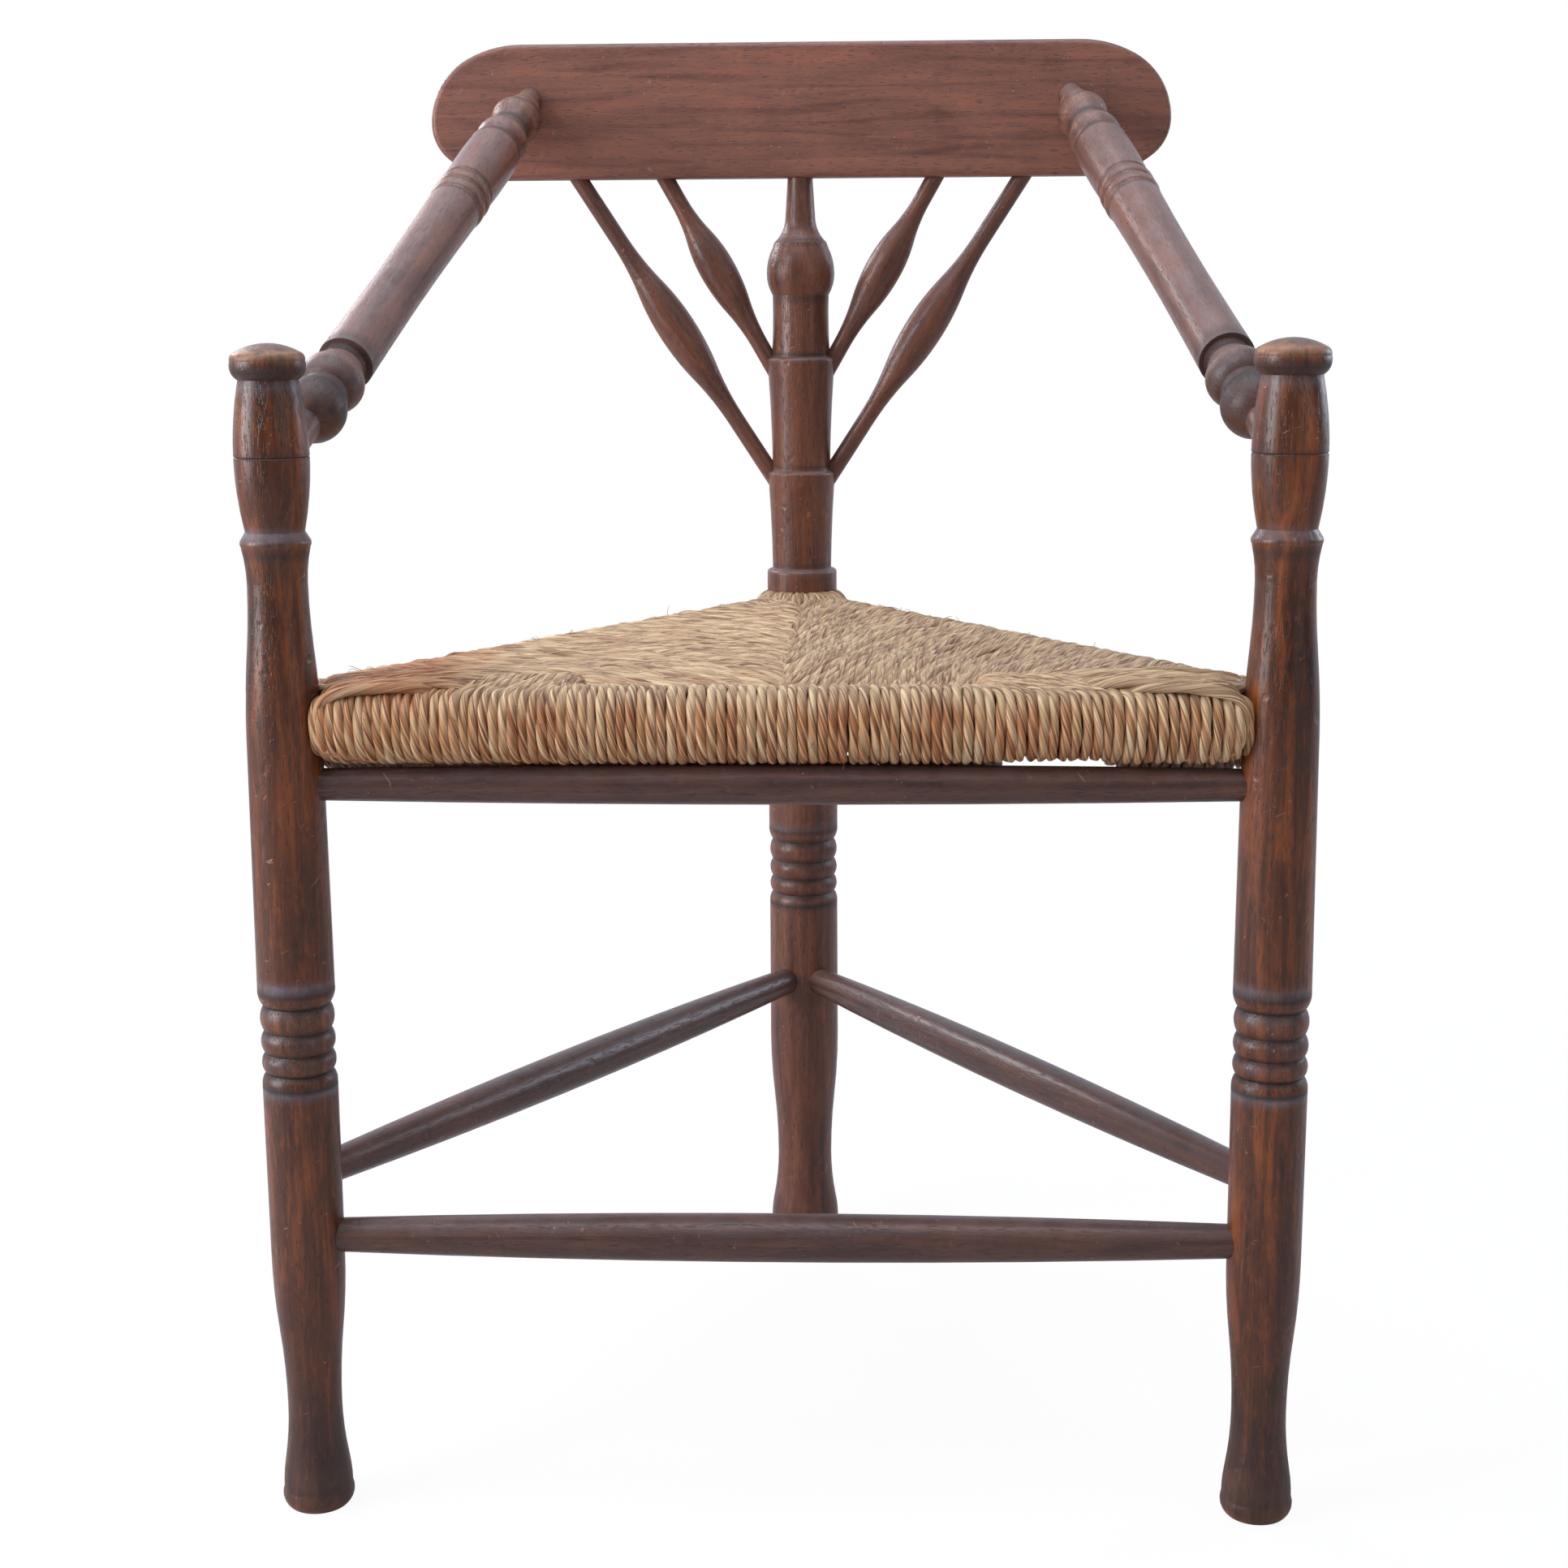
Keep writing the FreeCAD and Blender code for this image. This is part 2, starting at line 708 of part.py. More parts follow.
front_inset = "(front_seat_radius - rung_depth)"
rail_inset = "(front_seat_radius - rail_front_depth)"
back_rail_inset = "(back_seat_radius - rail_back_depth)"

add_rung(
    "front_seat_rail",
    front_axis(-1, FRONT_RAIL_Z),
    front_axis(1, FRONT_RAIL_Z),
    "2 * post_half_span",
    (rail_inset, rail_inset),
    ("rail_front_depth", "rail_front_depth"),
    ("rail_tenon_radius", "rail_radius"),
    ("left", "right"),
    rail=True,
)
add_rung(
    "front_apron_rail",
    front_axis(-1, APRON_Z),
    front_axis(1, APRON_Z),
    "2 * post_half_span",
    (front_inset, front_inset),
    ("rung_depth", "rung_depth"),
    ("apron_end_radius", "apron_radius"),
    ("left", "right"),
)
add_rung(
    "front_stretcher",
    front_axis(-1, "front_stretcher_height"),
    front_axis(1, "front_stretcher_height"),
    "2 * post_half_span",
    (front_inset, front_inset),
    ("rung_depth", "rung_depth"),
    ("front_stretcher_end_radius", "front_stretcher_radius"),
    ("left", "right"),
)
for side, word in SIDES:
    add_rung(
        f"{word}_seat_rail",
        front_axis(side, "side_rail_height"),
        back_axis("side_rail_height"),
        SIDE_SPAN,
        (rail_inset, back_rail_inset),
        ("rail_front_depth", "rail_back_depth"),
        ("rail_tenon_radius", "rail_radius"),
        (word, "back"),
        rail=True,
    )
    add_rung(
        f"{word}_stretcher",
        front_axis(side, "side_stretcher_height"),
        back_axis("side_stretcher_height"),
        SIDE_SPAN,
        (front_inset, "(back_seat_radius - rung_back_depth)"),
        ("rung_depth", "rung_back_depth"),
        ("side_stretcher_end_radius", "side_stretcher_radius"),
        (word, "back"),
    )

for side, word in SIDES:
    start = front_axis(side, "arm_low")
    end = at(f"{side} * arm_half_spread", CREST_FACE_Y, "crest_bottom + arm_high_rise")
    arm = turned(f"{word}_arm", arm_outline())
    arm.Placement = along(start, end)
    pieces.append((f"{word}_arm", arm, None))
    bore = "arm_tenon_radius + joint_clearance"
    low = shifted(start, end, "arm_tenon_start")
    mortises[word].append(peg(f"{word}_arm_low_bore", low, end, bore, "30"))
    tip = shifted(start, end, f"{ARM_LENGTH} + arm_crest_depth")
    bore = "arm_crest_radius + joint_clearance"
    tool = peg(f"{word}_arm_high_bore", tip, start, bore, "arm_crest_depth + 8")
    mortises["crest"].append(tool)

for side, word in SIDES:
    for kind in ("outer", "inner"):
        drop = f"({kind}_spindle_top - spindle_inner_reach) / {kind}_spindle_slope"
        foot = at(f"{side} * spindle_inner_reach", BACK_Y, f"crest_bottom - {drop}")
        top = at(f"{side} * {kind}_spindle_top", BACK_Y, "crest_bottom")
        label = f"{kind}_{word}_spindle"
        spindle = turned(label, spindle_outline(kind))
        spindle.Placement = along(foot, top)
        pieces.append((label, spindle, None))
        bore = "spindle_end_radius + joint_clearance"
        mortises["back"].append(peg(f"{label}_low_bore", foot, top, bore, "42"))
        tip = top + (top - foot).normalize() * value("spindle_depth")
        tool = peg(f"{label}_high_bore", tip, foot, bore, "spindle_depth + 10")
        mortises["crest"].append(tool)

neck_top = back_axis("crest_bottom + back_tenon_length")
mortises["crest"].append(
    peg(
        "back_post_crest_bore",
        neck_top,
        back_axis("crest_bottom"),
        "back_tenon_radius + joint_clearance",
        "back_tenon_length + 5",
    )
)

for side, word in SIDES:
    post = turned(f"front_{word}_post", front_post_outline())
    post.Placement = Placement(front_axis(side, "0"), Rotation())
    pieces.append((f"front_{word}_post", post, mortises[word]))
back_post = turned("back_post", back_post_outline())
back_post.Placement = Placement(back_axis("0"), Rotation())
pieces.append(("back_post", back_post, mortises["back"]))
crest = crest_board()
crest.Placement = Placement(back_axis("0"), Rotation())
pieces.append(("crest_rail", crest, mortises["crest"]))

rush = rush_body()
rush.Placement = Placement(at("0", FRONT_Y, RUSH_BOTTOM_Z), Rotation())
for name, point, radius in (
    ("left_post", front_axis(-1, f"{RUSH_BOTTOM_Z} - 5"), "front_seat_radius"),
    ("right_post", front_axis(1, f"{RUSH_BOTTOM_Z} - 5"), "front_seat_radius"),
    ("back_post", back_axis(f"{RUSH_BOTTOM_Z} - 5"), "back_seat_radius"),
):
    top = point + Vector(0, 0, 1)
    size = f"{radius} + rush_clearance"
    rush_tools.append(peg(f"rush_{name}_notch", point, top, size, "50"))
for name, start, end, length in (
    ("front", front_axis(-1, FRONT_RAIL_Z), front_axis(1, FRONT_RAIL_Z), "2 * post_half_span"),
    ("left", front_axis(-1, "side_rail_height"), back_axis("side_rail_height"), SIDE_SPAN),
    ("right", front_axis(1, "side_rail_height"), back_axis("side_rail_height"), SIDE_SPAN),
):
    size = "rail_radius + rush_clearance"
    rush_tools.append(peg(f"rush_{name}_rail_tunnel", start, end, size, length))
pieces.append(("rush_seat", rush, rush_tools))

final = []
for label, piece, tools in pieces:
    final.append((label, finish(label, piece, tools)))
doc.recompute()

for item in doc.Objects:
    if any(word in item.State for word in ("Invalid", "Error")):
        raise RuntimeError(f"{item.Name} did not build: {item.State}")
os.makedirs("parts", exist_ok=True)
for label, item in final:
    shape = item.Shape
    if shape.isNull() or not shape.isValid() or len(shape.Solids) != 1:
        raise RuntimeError(f"{label} is not one valid solid")
    shape.exportStep(f"parts/{label}.step")
    box = shape.optimalBoundingBox()
    print(
        f"{label}: {shape.Volume / 1000:.1f} cm3,"
        f" {box.XLength:.1f} x {box.YLength:.1f} x {box.ZLength:.1f} mm,"
        f" z {box.ZMin:.1f} to {box.ZMax:.1f}"
    )
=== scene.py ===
"""A three-legged corner chair with a woven rush seat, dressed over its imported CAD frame.

The turned pieces keep the frame's meshes and get stained, waxed and worn wood. The seat is
woven here cord by cord round the hidden seat rails and stands for the CAD seat solid.
"""

import logging
import math
from dataclasses import dataclass, field
from enum import Enum

import bmesh
import bpy
import numpy as np
from mathutils import Matrix, Vector

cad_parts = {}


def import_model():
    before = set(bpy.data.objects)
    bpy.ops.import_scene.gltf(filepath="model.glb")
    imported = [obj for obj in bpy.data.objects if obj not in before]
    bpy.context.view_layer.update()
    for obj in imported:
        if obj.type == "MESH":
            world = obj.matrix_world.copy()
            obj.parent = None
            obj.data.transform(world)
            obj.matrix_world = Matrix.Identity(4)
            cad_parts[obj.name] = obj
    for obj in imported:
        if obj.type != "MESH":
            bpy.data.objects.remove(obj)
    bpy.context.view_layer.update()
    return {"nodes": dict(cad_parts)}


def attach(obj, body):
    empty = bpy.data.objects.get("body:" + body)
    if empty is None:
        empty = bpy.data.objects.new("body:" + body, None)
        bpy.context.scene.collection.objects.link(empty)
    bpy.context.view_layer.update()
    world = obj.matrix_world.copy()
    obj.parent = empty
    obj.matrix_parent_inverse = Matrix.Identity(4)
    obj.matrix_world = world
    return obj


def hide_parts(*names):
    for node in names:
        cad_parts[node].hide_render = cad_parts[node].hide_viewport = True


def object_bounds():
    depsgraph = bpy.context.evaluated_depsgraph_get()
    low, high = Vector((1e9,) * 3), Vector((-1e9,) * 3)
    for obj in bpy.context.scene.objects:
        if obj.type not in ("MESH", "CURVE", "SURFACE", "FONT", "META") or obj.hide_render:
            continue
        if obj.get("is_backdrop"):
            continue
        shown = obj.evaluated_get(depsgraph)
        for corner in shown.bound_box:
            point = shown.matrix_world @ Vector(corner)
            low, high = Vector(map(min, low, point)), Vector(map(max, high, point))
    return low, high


log = logging.getLogger("corner_chair")

Colour = tuple[float, float, float, float]
Socket = bpy.types.NodeSocket


def paint(red: float, green: float, blue: float) -> Colour:
    """Turns a colour as a screen shows it into the linear colour that a shader takes.

    Args:
        red: Red, from 0 to 255.
        green: Green, from 0 to 255.
        blue: Blue, from 0 to 255.

    Returns:
        The linear colour with full alpha.
    """
    linear = [
        part / 12.92 if part <= 0.04045 else ((part + 0.055) / 1.055) ** 2.4
        for part in (red / 255, green / 255, blue / 255)
    ]
    return linear[0], linear[1], linear[2], 1.0


def grey(value: float) -> Colour:
    """Gives a plain mask value as a colour."""
    return value, value, value, 1.0


def smooth(low: float, high: float, value: np.ndarray) -> np.ndarray:
    """Rises smoothly from 0 at low to 1 at high.

    Args:
        low: Where the rise begins.
        high: Where the rise ends.
        value: The places to look at.

    Returns:
        The height of the rise at each place.
    """
    share = np.clip((value - low) / (high - low), 0.0, 1.0)
    return share * share * (3 - 2 * share)


def hang(name: str, data: bpy.types.ID) -> bpy.types.Object:
    """Puts a mesh, a lamp or a camera into the scene as an object and returns it."""
    thing = bpy.data.objects.new(name, data)
    bpy.context.scene.collection.objects.link(thing)
    return thing


class Sheet:
    """Lays out and joins the nodes of one shader or geometry tree."""

    def __init__(self, tree: bpy.types.NodeTree) -> None:
        """Starts on a tree that may already hold nodes."""
        self.tree = tree

    def add(self, kind: str, inputs: dict | None = None, **settings: object) -> bpy.types.Node:
        """Adds one node.

        Args:
            kind: The node's type.
            inputs: Values or sockets for its inputs, by name or number.
            **settings: The node's own properties.

        Returns:
            The new node.
        """
        node = self.tree.nodes.new(kind)
        place = len(self.tree.nodes)
        node.location = (190 * (place % 12), -260 * (place // 12))
        for name, value in settings.items():
            setattr(node, name, value)
        for key, value in (inputs or {}).items():
            self.feed(node.inputs[key], value)
        return node

    def feed(self, socket: Socket, value: object) -> None:
        """Joins a socket to another, or sets its value."""
        if isinstance(value, bpy.types.NodeSocket):
            self.tree.links.new(value, socket)
        else:
            socket.default_value = value

    def sum(self, operation: str, *values: object, clamp: bool = False) -> Socket:
        """Adds a Math node and returns its result."""
        kind = "ShaderNodeMath"
        node = self.add(kind, dict(enumerate(values)), operation=operation, use_clamp=clamp)
        return node.outputs[0]

    def vector(self, operation: str, *values: object) -> Socket:
        """Adds a Vector Math node and returns its vector."""
        node = self.add("ShaderNodeVectorMath", dict(enumerate(values)), operation=operation)
        return node.outputs[0]

    def stretch(self, vector: Socket, scale: tuple[float, float, float]) -> Socket:
        """Scales a vector by a different amount along each axis."""
        return self.vector("MULTIPLY", vector, scale)

    def noise(
        self,
        vector: Socket,
        scale: float,
        detail: float = 3.0,
        roughness: float = 0.5,
        distortion: float = 0.0,
    ) -> Socket:
        """Adds a Noise texture and returns its value."""
        values = {
            "Vector": vector,
            "Scale": scale,
            "Detail": detail,
            "Roughness": roughness,
            "Distortion": distortion,
        }
        return self.add("ShaderNodeTexNoise", values).outputs[0]

    def ramp(self, value: Socket, stops: list[tuple[float, Colour]]) -> Socket:
        """Maps a value to a colour.

        Args:
            value: The value from 0 to 1.
            stops: Each stop's place and colour, in rising order.

        Returns:
            The colour socket.
        """
        node = self.add("ShaderNodeValToRGB", {0: value})
        steps = node.color_ramp.elements
        while len(steps) < len(stops):
            steps.new(1.0)
        for step, (place, colour) in zip(steps, stops):
            step.position = place
            step.color = colour
        return node.outputs[0]

    def mask(self, value: Socket, low: float, high: float) -> Socket:
        """Turns the part of a value between low and high into a mask from 0 to 1."""
        values = {"Value": value, "From Min": low, "From Max": high}
        return self.add("ShaderNodeMapRange", values, interpolation_type="SMOOTHSTEP").outputs[0]

    def mix(self, share: object, first: object, second: object) -> Socket:
        """Mixes two colours by the second one's share."""
        values = {0: share, 6: first, 7: second}
        return self.add("ShaderNodeMix", values, data_type="RGBA").outputs[2]

    def attribute(self, name: str) -> bpy.types.Node:
        """Adds a node that reads one of the mesh's own attributes."""
        return self.add("ShaderNodeAttribute", attribute_name=name)

    def split(self, vector: Socket) -> list[Socket]:
        """Splits a vector and returns its three parts."""
        return self.add("ShaderNodeSeparateXYZ", {0: vector}).outputs

    def object_place(self) -> Socket:
        """Gives the place on the object that is being shaded."""
        return self.add("ShaderNodeTexCoord").outputs["Object"]

    @classmethod
    def group(cls, name: str, kind: str, inputs: dict[str, str], outputs: dict[str, str]) -> "Sheet":
        """Opens a node group with its two end nodes.

        Args:
            name: The group's name.
            kind: Shader or Geometry.
            inputs: Each input's name and kind of socket.
            outputs: Each output's name and kind of socket.

        Returns:
            The sheet of the new group.
        """
        tree = bpy.data.node_groups.new(name, f"{kind}NodeTree")
        for way, ends in (("INPUT", inputs), ("OUTPUT", outputs)):
            for label, socket in ends.items():
                tree.interface.new_socket(label, in_out=way, socket_type=f"NodeSocket{socket}")
        tree.nodes.new("NodeGroupInput")
        tree.nodes.new("NodeGroupOutput")
        return cls(tree)

    @property
    def ends(self) -> tuple:
        """Gives a group's own input sockets and output sockets."""
        nodes = self.tree.nodes
        return nodes["Group Input"].outputs, nodes["Group Output"].inputs


class Coat(Sheet):
    """The sheet of one new material, with its main shader."""

    def __init__(self, name: str) -> None:
        """Makes the material."""
        self.material = bpy.data.materials.new(name)
        self.material.use_nodes = True
        super().__init__(self.material.node_tree)
        self.shader = self.tree.nodes["Principled BSDF"]

    def dress(self, **values: object) -> None:
        """Feeds the main shader's inputs, each named with _ for its spaces."""
        for name, value in values.items():
            self.feed(self.shader.inputs[name.replace("_", " ")], value)

    def emboss(self, strength: float, distance: float, height: Socket) -> None:
        """Raises the surface by a height that is drawn in the shader.

        Args:
            strength: The share of the height that is used.
            distance: The rise of a height of 1, in metres.
            height: The height.
        """
        values = {"Strength": strength, "Distance": distance, "Height": height}
        self.dress(Normal=self.add("ShaderNodeBump", values).outputs[0])


@dataclass(frozen=True)
class Band:
    """One ring of a colour or wear round a turned piece, in millimetres along its axis."""

    place: float
    half: float
    strength: float = 1.0


def bands(*rows: tuple[float, ...]) -> tuple[Band, ...]:
    """Makes rings from rows of place, half width and, where it isn't 1, strength."""
    return tuple(Band(*row) for row in rows)


@dataclass(frozen=True)
class Axis:
    """Where a piece's own axis lies: its grain and its turned rings follow it."""

    start: tuple[float, float, float]
    end: tuple[float, float, float]

    @property
    def turn(self) -> tuple[float, float, float]:
        """Gives the turn that takes the local Z axis to the piece's axis."""
        way = Vector(self.end) - Vector(self.start)
        return tuple(way.to_track_quat("Z", "Y").to_euler("XYZ"))

    @property
    def length(self) -> float:
        """Gives the axis's length in metres."""
        return (Vector(self.end) - Vector(self.start)).length


class EffectKit:
    """The shared shader groups: wood grain, surface wear and rush fibre."""

    def __init__(self) -> None:
        """Builds each group once."""
        self.grain = self._grain()
        self.wear = self._wear()
        self.fibre = self._fibre()

    @staticmethod
    def _seeded(name: str, way: tuple[float, float, float], outputs: list[str]) -> tuple:
        """Opens a shader group whose pattern a seed moves.

        Args:
            name: The group's name.
            way: How far a seed of 1 moves the pattern.
            outputs: The names of its masks.

        Returns:
            The sheet, the moved place and the group's output sockets.
        """
        inputs = {"Vector": "Vector", "Seed": "Float"}
        sheet = Sheet.group(name, "Shader", inputs, dict.fromkeys(outputs, "Float"))
        start, end = sheet.ends
        shift = sheet.vector("SCALE", way)
        sheet.feed(shift.node.inputs["Scale"], start["Seed"])
        return sheet, sheet.vector("ADD", start["Vector"], shift), end

    def _grain(self) -> bpy.types.NodeTree:
        """Builds the wood grain: pores, growth rings, ray flecks and slow mottling."""
        outputs = ["Pores", "Rings", "Fleck", "Mottle"]
        sheet, local, end = self._seeded("Wood Grain", (0.37, 0.61, 0.53), outputs)
        pores = sheet.noise(sheet.stretch(local, (1250, 1250, 150)), 1.0, 2.0, 0.55)
        sheet.feed(end["Pores"], sheet.mask(pores, 0.55, 0.68))
        rings = sheet.noise(sheet.stretch(local, (150, 150, 9)), 1.0, 4.0, 0.6, 0.7)
        sheet.feed(end["Rings"], rings)
        fleck = sheet.noise(sheet.stretch(local, (420, 420, 90)), 1.0, 3.0, 0.6)
        sheet.feed(end["Fleck"], sheet.mask(fleck, 0.54, 0.70))
        mottle = sheet.noise(sheet.stretch(local, (30, 30, 13)), 1.0, 4.0, 0.65, 0.8)
        sheet.feed(end["Mottle"], mottle)
        return sheet.tree

    def _wear(self) -> bpy.types.NodeTree:
        """Builds the wear: fine scratches, dents and settled dust."""
        outputs = ["Scratches", "Dents", "Dust"]
        sheet, local, end = self._seeded("Surface Wear", (0.83, 0.29, 0.71), outputs)
        marks = []
        for turn, scale in (((0.9, 0.3, 0.5), (520, 24, 520)), ((0.2, 1.2, 2.1), (460, 460, 30))):
            turned = sheet.add("ShaderNodeMapping", {"Vector": local, "Rotation": turn}).outputs[0]
            lines = sheet.noise(sheet.stretch(turned, scale), 1.0, 1.0, 0.4)
            where = sheet.noise(turned, 38.0, 2.0)
            line = sheet.mask(lines, 0.715, 0.775)
            marks.append(sheet.sum("MULTIPLY", line, sheet.mask(where, 0.50, 0.62)))
        sheet.feed(end["Scratches"], sheet.sum("MAXIMUM", *marks))
        dent = sheet.add(
            "ShaderNodeTexVoronoi", {"Vector": local, "Scale": 85.0}, feature="SMOOTH_F1"
        )
        sheet.feed(end["Dents"], sheet.mask(dent.outputs["Distance"], 0.22, 0.05))
        sheet.feed(end["Dust"], sheet.mask(sheet.noise(local, 60.0, 5.0, 0.65), 0.35, 0.75))
        return sheet.tree

    @staticmethod
    def _fibre() -> bpy.types.NodeTree:
        """Builds the rush fibre: leaf streaks along a twisted cord, and its folds."""
        inputs = {"Round": "Vector", "Along": "Float", "Cord": "Float"}
        outputs = dict.fromkeys(["Streaks", "Fine", "Folds", "Blotch"], "Float")
        sheet = Sheet.group("Rush Fibre", "Shader", inputs, outputs)
        start, end = sheet.ends
        shift = sheet.sum("MULTIPLY", start["Cord"], 61.0)
        around = sheet.split(start["Round"])

        def spread(across: float, along: float) -> Socket:
            """Stretches the leaf pattern round and along the cord."""
            length = sheet.sum("MULTIPLY_ADD", start["Along"], along, shift)
            parts = [sheet.sum("MULTIPLY", around[k], across) for k in (0, 1)]
            return sheet.add("ShaderNodeCombineXYZ", {0: parts[0], 1: parts[1], 2: length}).outputs[0]

        sheet.feed(end["Streaks"], sheet.noise(spread(2.6, 26.0), 1.0, 2.5, 0.55))
        sheet.feed(end["Fine"], sheet.noise(spread(7.5, 45.0), 1.0, 3.0, 0.6))
        sheet.feed(end["Blotch"], sheet.noise(spread(0.5, 30.0), 1.0, 2.0, 0.5))
        cube = sheet.sum("MULTIPLY", sheet.sum("POWER", around[0], 3.0), 4.0)
        lobes = sheet.sum("SUBTRACT", cube, sheet.sum("MULTIPLY", around[0], 3.0))
        sheet.feed(end["Folds"], sheet.mask(lobes, 0.1, -1.0))
        return sheet.tree


@dataclass(frozen=True)
class StainedWood:
    """Brown-stained, waxed wood, worn by long use.

    The colours are those of its grain, of dark wax with painted shade in the grooves, of
    rubbed-through stain with a painted highlight on the ridges, of the pale bloom with a painted
    sky sheen on what faces up, and of settled dust with a painted highlight on the beads. Faces
    turned down are painted lighter, as a painted bounce light. The shares say how strongly each
    of them shows.
    """

    name: str
    dark: Colour = paint(66, 40, 32)
    mid: Colour = paint(98, 60, 47)
    light: Colour = paint(132, 80, 54)
    # dark wax in the pores and grooves, also painted shade in the grooves
    grime_and_shade: Colour = paint(38, 30, 29)
    # rubbed-through stain, also a painted highlight on the ridges
    rubbed_and_highlight: Colour = paint(168, 122, 92)
    # pale wax bloom, also a painted sky sheen on faces turned up
    bloom_and_sheen: Colour = paint(126, 108, 108)
    # grey dust, also a painted blue-grey highlight on the beads
    dust_and_highlight: Colour = paint(124, 114, 116)
    fleck: float = 0.25
    pores: float = 0.55
    bloom_and_sheen_share: float = 0.35
    # how much lighter faces turned down are painted, as a painted bounce light
    under: float = 0.25
    scratch_share: float = 0.45
    roughness: float = 0.33
    wax: float = 0.08
    relief: float = 0.45
    rings_per_ramp: int = 9

    def make(
        self,
        kit: EffectKit,
        piece: str,
        axis: Axis,
        seed: float,
        grime_and_shade_rings: tuple[Band, ...] = (),
        rubbed_and_highlight_rings: tuple[Band, ...] = (),
        dust_and_highlight_rings: tuple[Band, ...] = (),
    ) -> bpy.types.Material:
        """Mixes the finish for one piece.

        Args:
            kit: The shared shader groups.
            piece: The piece's name.
            axis: The piece's axis, which grain and rings follow.
            seed: A number that makes this piece's grain its own.
            grime_and_shade_rings: Rings where dark wax and dust sit, darkened further as painted
                shade in the hollows.
            rubbed_and_highlight_rings: Rings where the stain is rubbed through, with a highlight
                painted on the ridges.
            dust_and_highlight_rings: Rings of grey dust, partly a painted blue-grey highlight on the
                beads.

        Returns:
            The finished material.
        """
        sheet = Coat(f"{self.name}_{piece}")
        place = sheet.object_place()
        local = sheet.add(
            "ShaderNodeMapping",
            {"Vector": place, "Location": axis.start, "Rotation": axis.turn},
            vector_type="TEXTURE",
        ).outputs[0]
        grain = self._effect(sheet, kit.grain, local, seed)
        wear = self._effect(sheet, kit.wear, local, seed)
        colour, up = self._stained(sheet, grain)
        # Faces turned up get pale wax bloom and dust, partly a painted sky sheen.
        above = sheet.mask(up, -0.1, 0.85)
        dust_and_highlight = sheet.sum("MULTIPLY", above, sheet.sum("MULTIPLY_ADD", wear["Dust"], 0.6, 0.4))
        bloom_and_sheen = sheet.sum("MULTIPLY", dust_and_highlight, self.bloom_and_sheen_share)
        colour = sheet.mix(bloom_and_sheen, colour, self.bloom_and_sheen)
        high = sheet.split(local)[2]
        # Rubbed-through stain on the listed ridges, partly a painted highlight.
        ragged = sheet.sum("MULTIPLY_ADD", grain["Rings"], 3.0, -0.8, clamp=True)
        rubbed_and_highlight = sheet.sum("MULTIPLY", self._rings(sheet, high, axis, rubbed_and_highlight_rings), ragged)
        colour = sheet.mix(rubbed_and_highlight, colour, self.rubbed_and_highlight)
        worn = sheet.sum("MULTIPLY", wear["Scratches"], self.scratch_share)
        colour = sheet.mix(worn, colour, self.rubbed_and_highlight)
        # The grooves get dark wax and dust, and painted shade in the hollows.
        dark = self._rings(sheet, high, axis, grime_and_shade_rings)
        colour = sheet.mix(dark, colour, self.grime_and_shade)
        # Grey dust on the listed rings, partly a painted blue-grey highlight on the beads.
        speckled = sheet.sum("MULTIPLY_ADD", wear["Dust"], 0.7, 0.3)
        ring_dust_and_highlight = sheet.sum("MULTIPLY", self._rings(sheet, high, axis, dust_and_highlight_rings), speckled)
        colour = sheet.mix(ring_dust_and_highlight, colour, self.dust_and_highlight)
        rough = sheet.sum("MULTIPLY_ADD", grain["Pores"], 0.12, self.roughness)
        for mask, share in ((bloom_and_sheen, 0.25), (dark, 0.2), (rubbed_and_highlight, 0.25)):
            rough = sheet.sum("MULTIPLY_ADD", mask, share, rough)
        sheet.dress(Base_Color=colour, Roughness=rough)
        sheet.dress(Specular_IOR_Level=0.4, Coat_Weight=self.wax, Coat_Roughness=0.28)
        self._raised(sheet, grain, wear)
        return sheet.material

    def _stained(self, sheet: Sheet, grain: dict) -> tuple[Socket, Socket]:
        """Mixes the stained grain, painted lighter where it faces down as a painted bounce light,
        with dark pores.

        Args:
            sheet: The material's sheet.
            grain: The grain's masks.

        Returns:
            The colour, and how far the surface faces up.
        """
        mottle = sheet.sum("MULTIPLY", grain["Mottle"], 0.4)
        tone = sheet.sum("MULTIPLY_ADD", grain["Rings"], 0.6, mottle)
        colour = sheet.ramp(tone, [(0.34, self.dark), (0.50, self.mid), (0.68, self.light)])
        up = sheet.split(sheet.add("ShaderNodeNewGeometry").outputs["Normal"])[2]
        # Faces turned down are painted lighter: painted bounce light.
        below = sheet.sum("MULTIPLY", sheet.mask(up, 0.15, -0.7), self.under)
        colour = sheet.mix(below, colour, self.light)
        colour = sheet.mix(sheet.sum("MULTIPLY", grain["Fleck"], self.fleck), colour, self.light)
        colour = sheet.mix(sheet.sum("MULTIPLY", grain["Pores"], self.pores), colour, self.grime_and_shade)
        return colour, up

    def _raised(self, sheet: Coat, grain: dict, wear: dict) -> None:
        """Sinks the pores, scratches and dents into the surface and raises the growth rings."""
        height = sheet.sum("MULTIPLY", grain["Pores"], -0.6)
        for mask, share in ((wear["Scratches"], -0.8), (wear["Dents"], -0.9), (grain["Rings"], 0.6)):
            height = sheet.sum("MULTIPLY_ADD", mask, share, height)
        sheet.emboss(self.relief, 0.0006, height)

    @staticmethod
    def _effect(sheet: Sheet, group: bpy.types.NodeTree, local: Socket, seed: float) -> dict:
        """Places a shared group and returns its outputs by name."""
        node = sheet.add("ShaderNodeGroup", node_tree=group)
        sheet.feed(node.inputs["Vector"], local)
        sheet.feed(node.inputs["Seed"], seed)
        return node.outputs

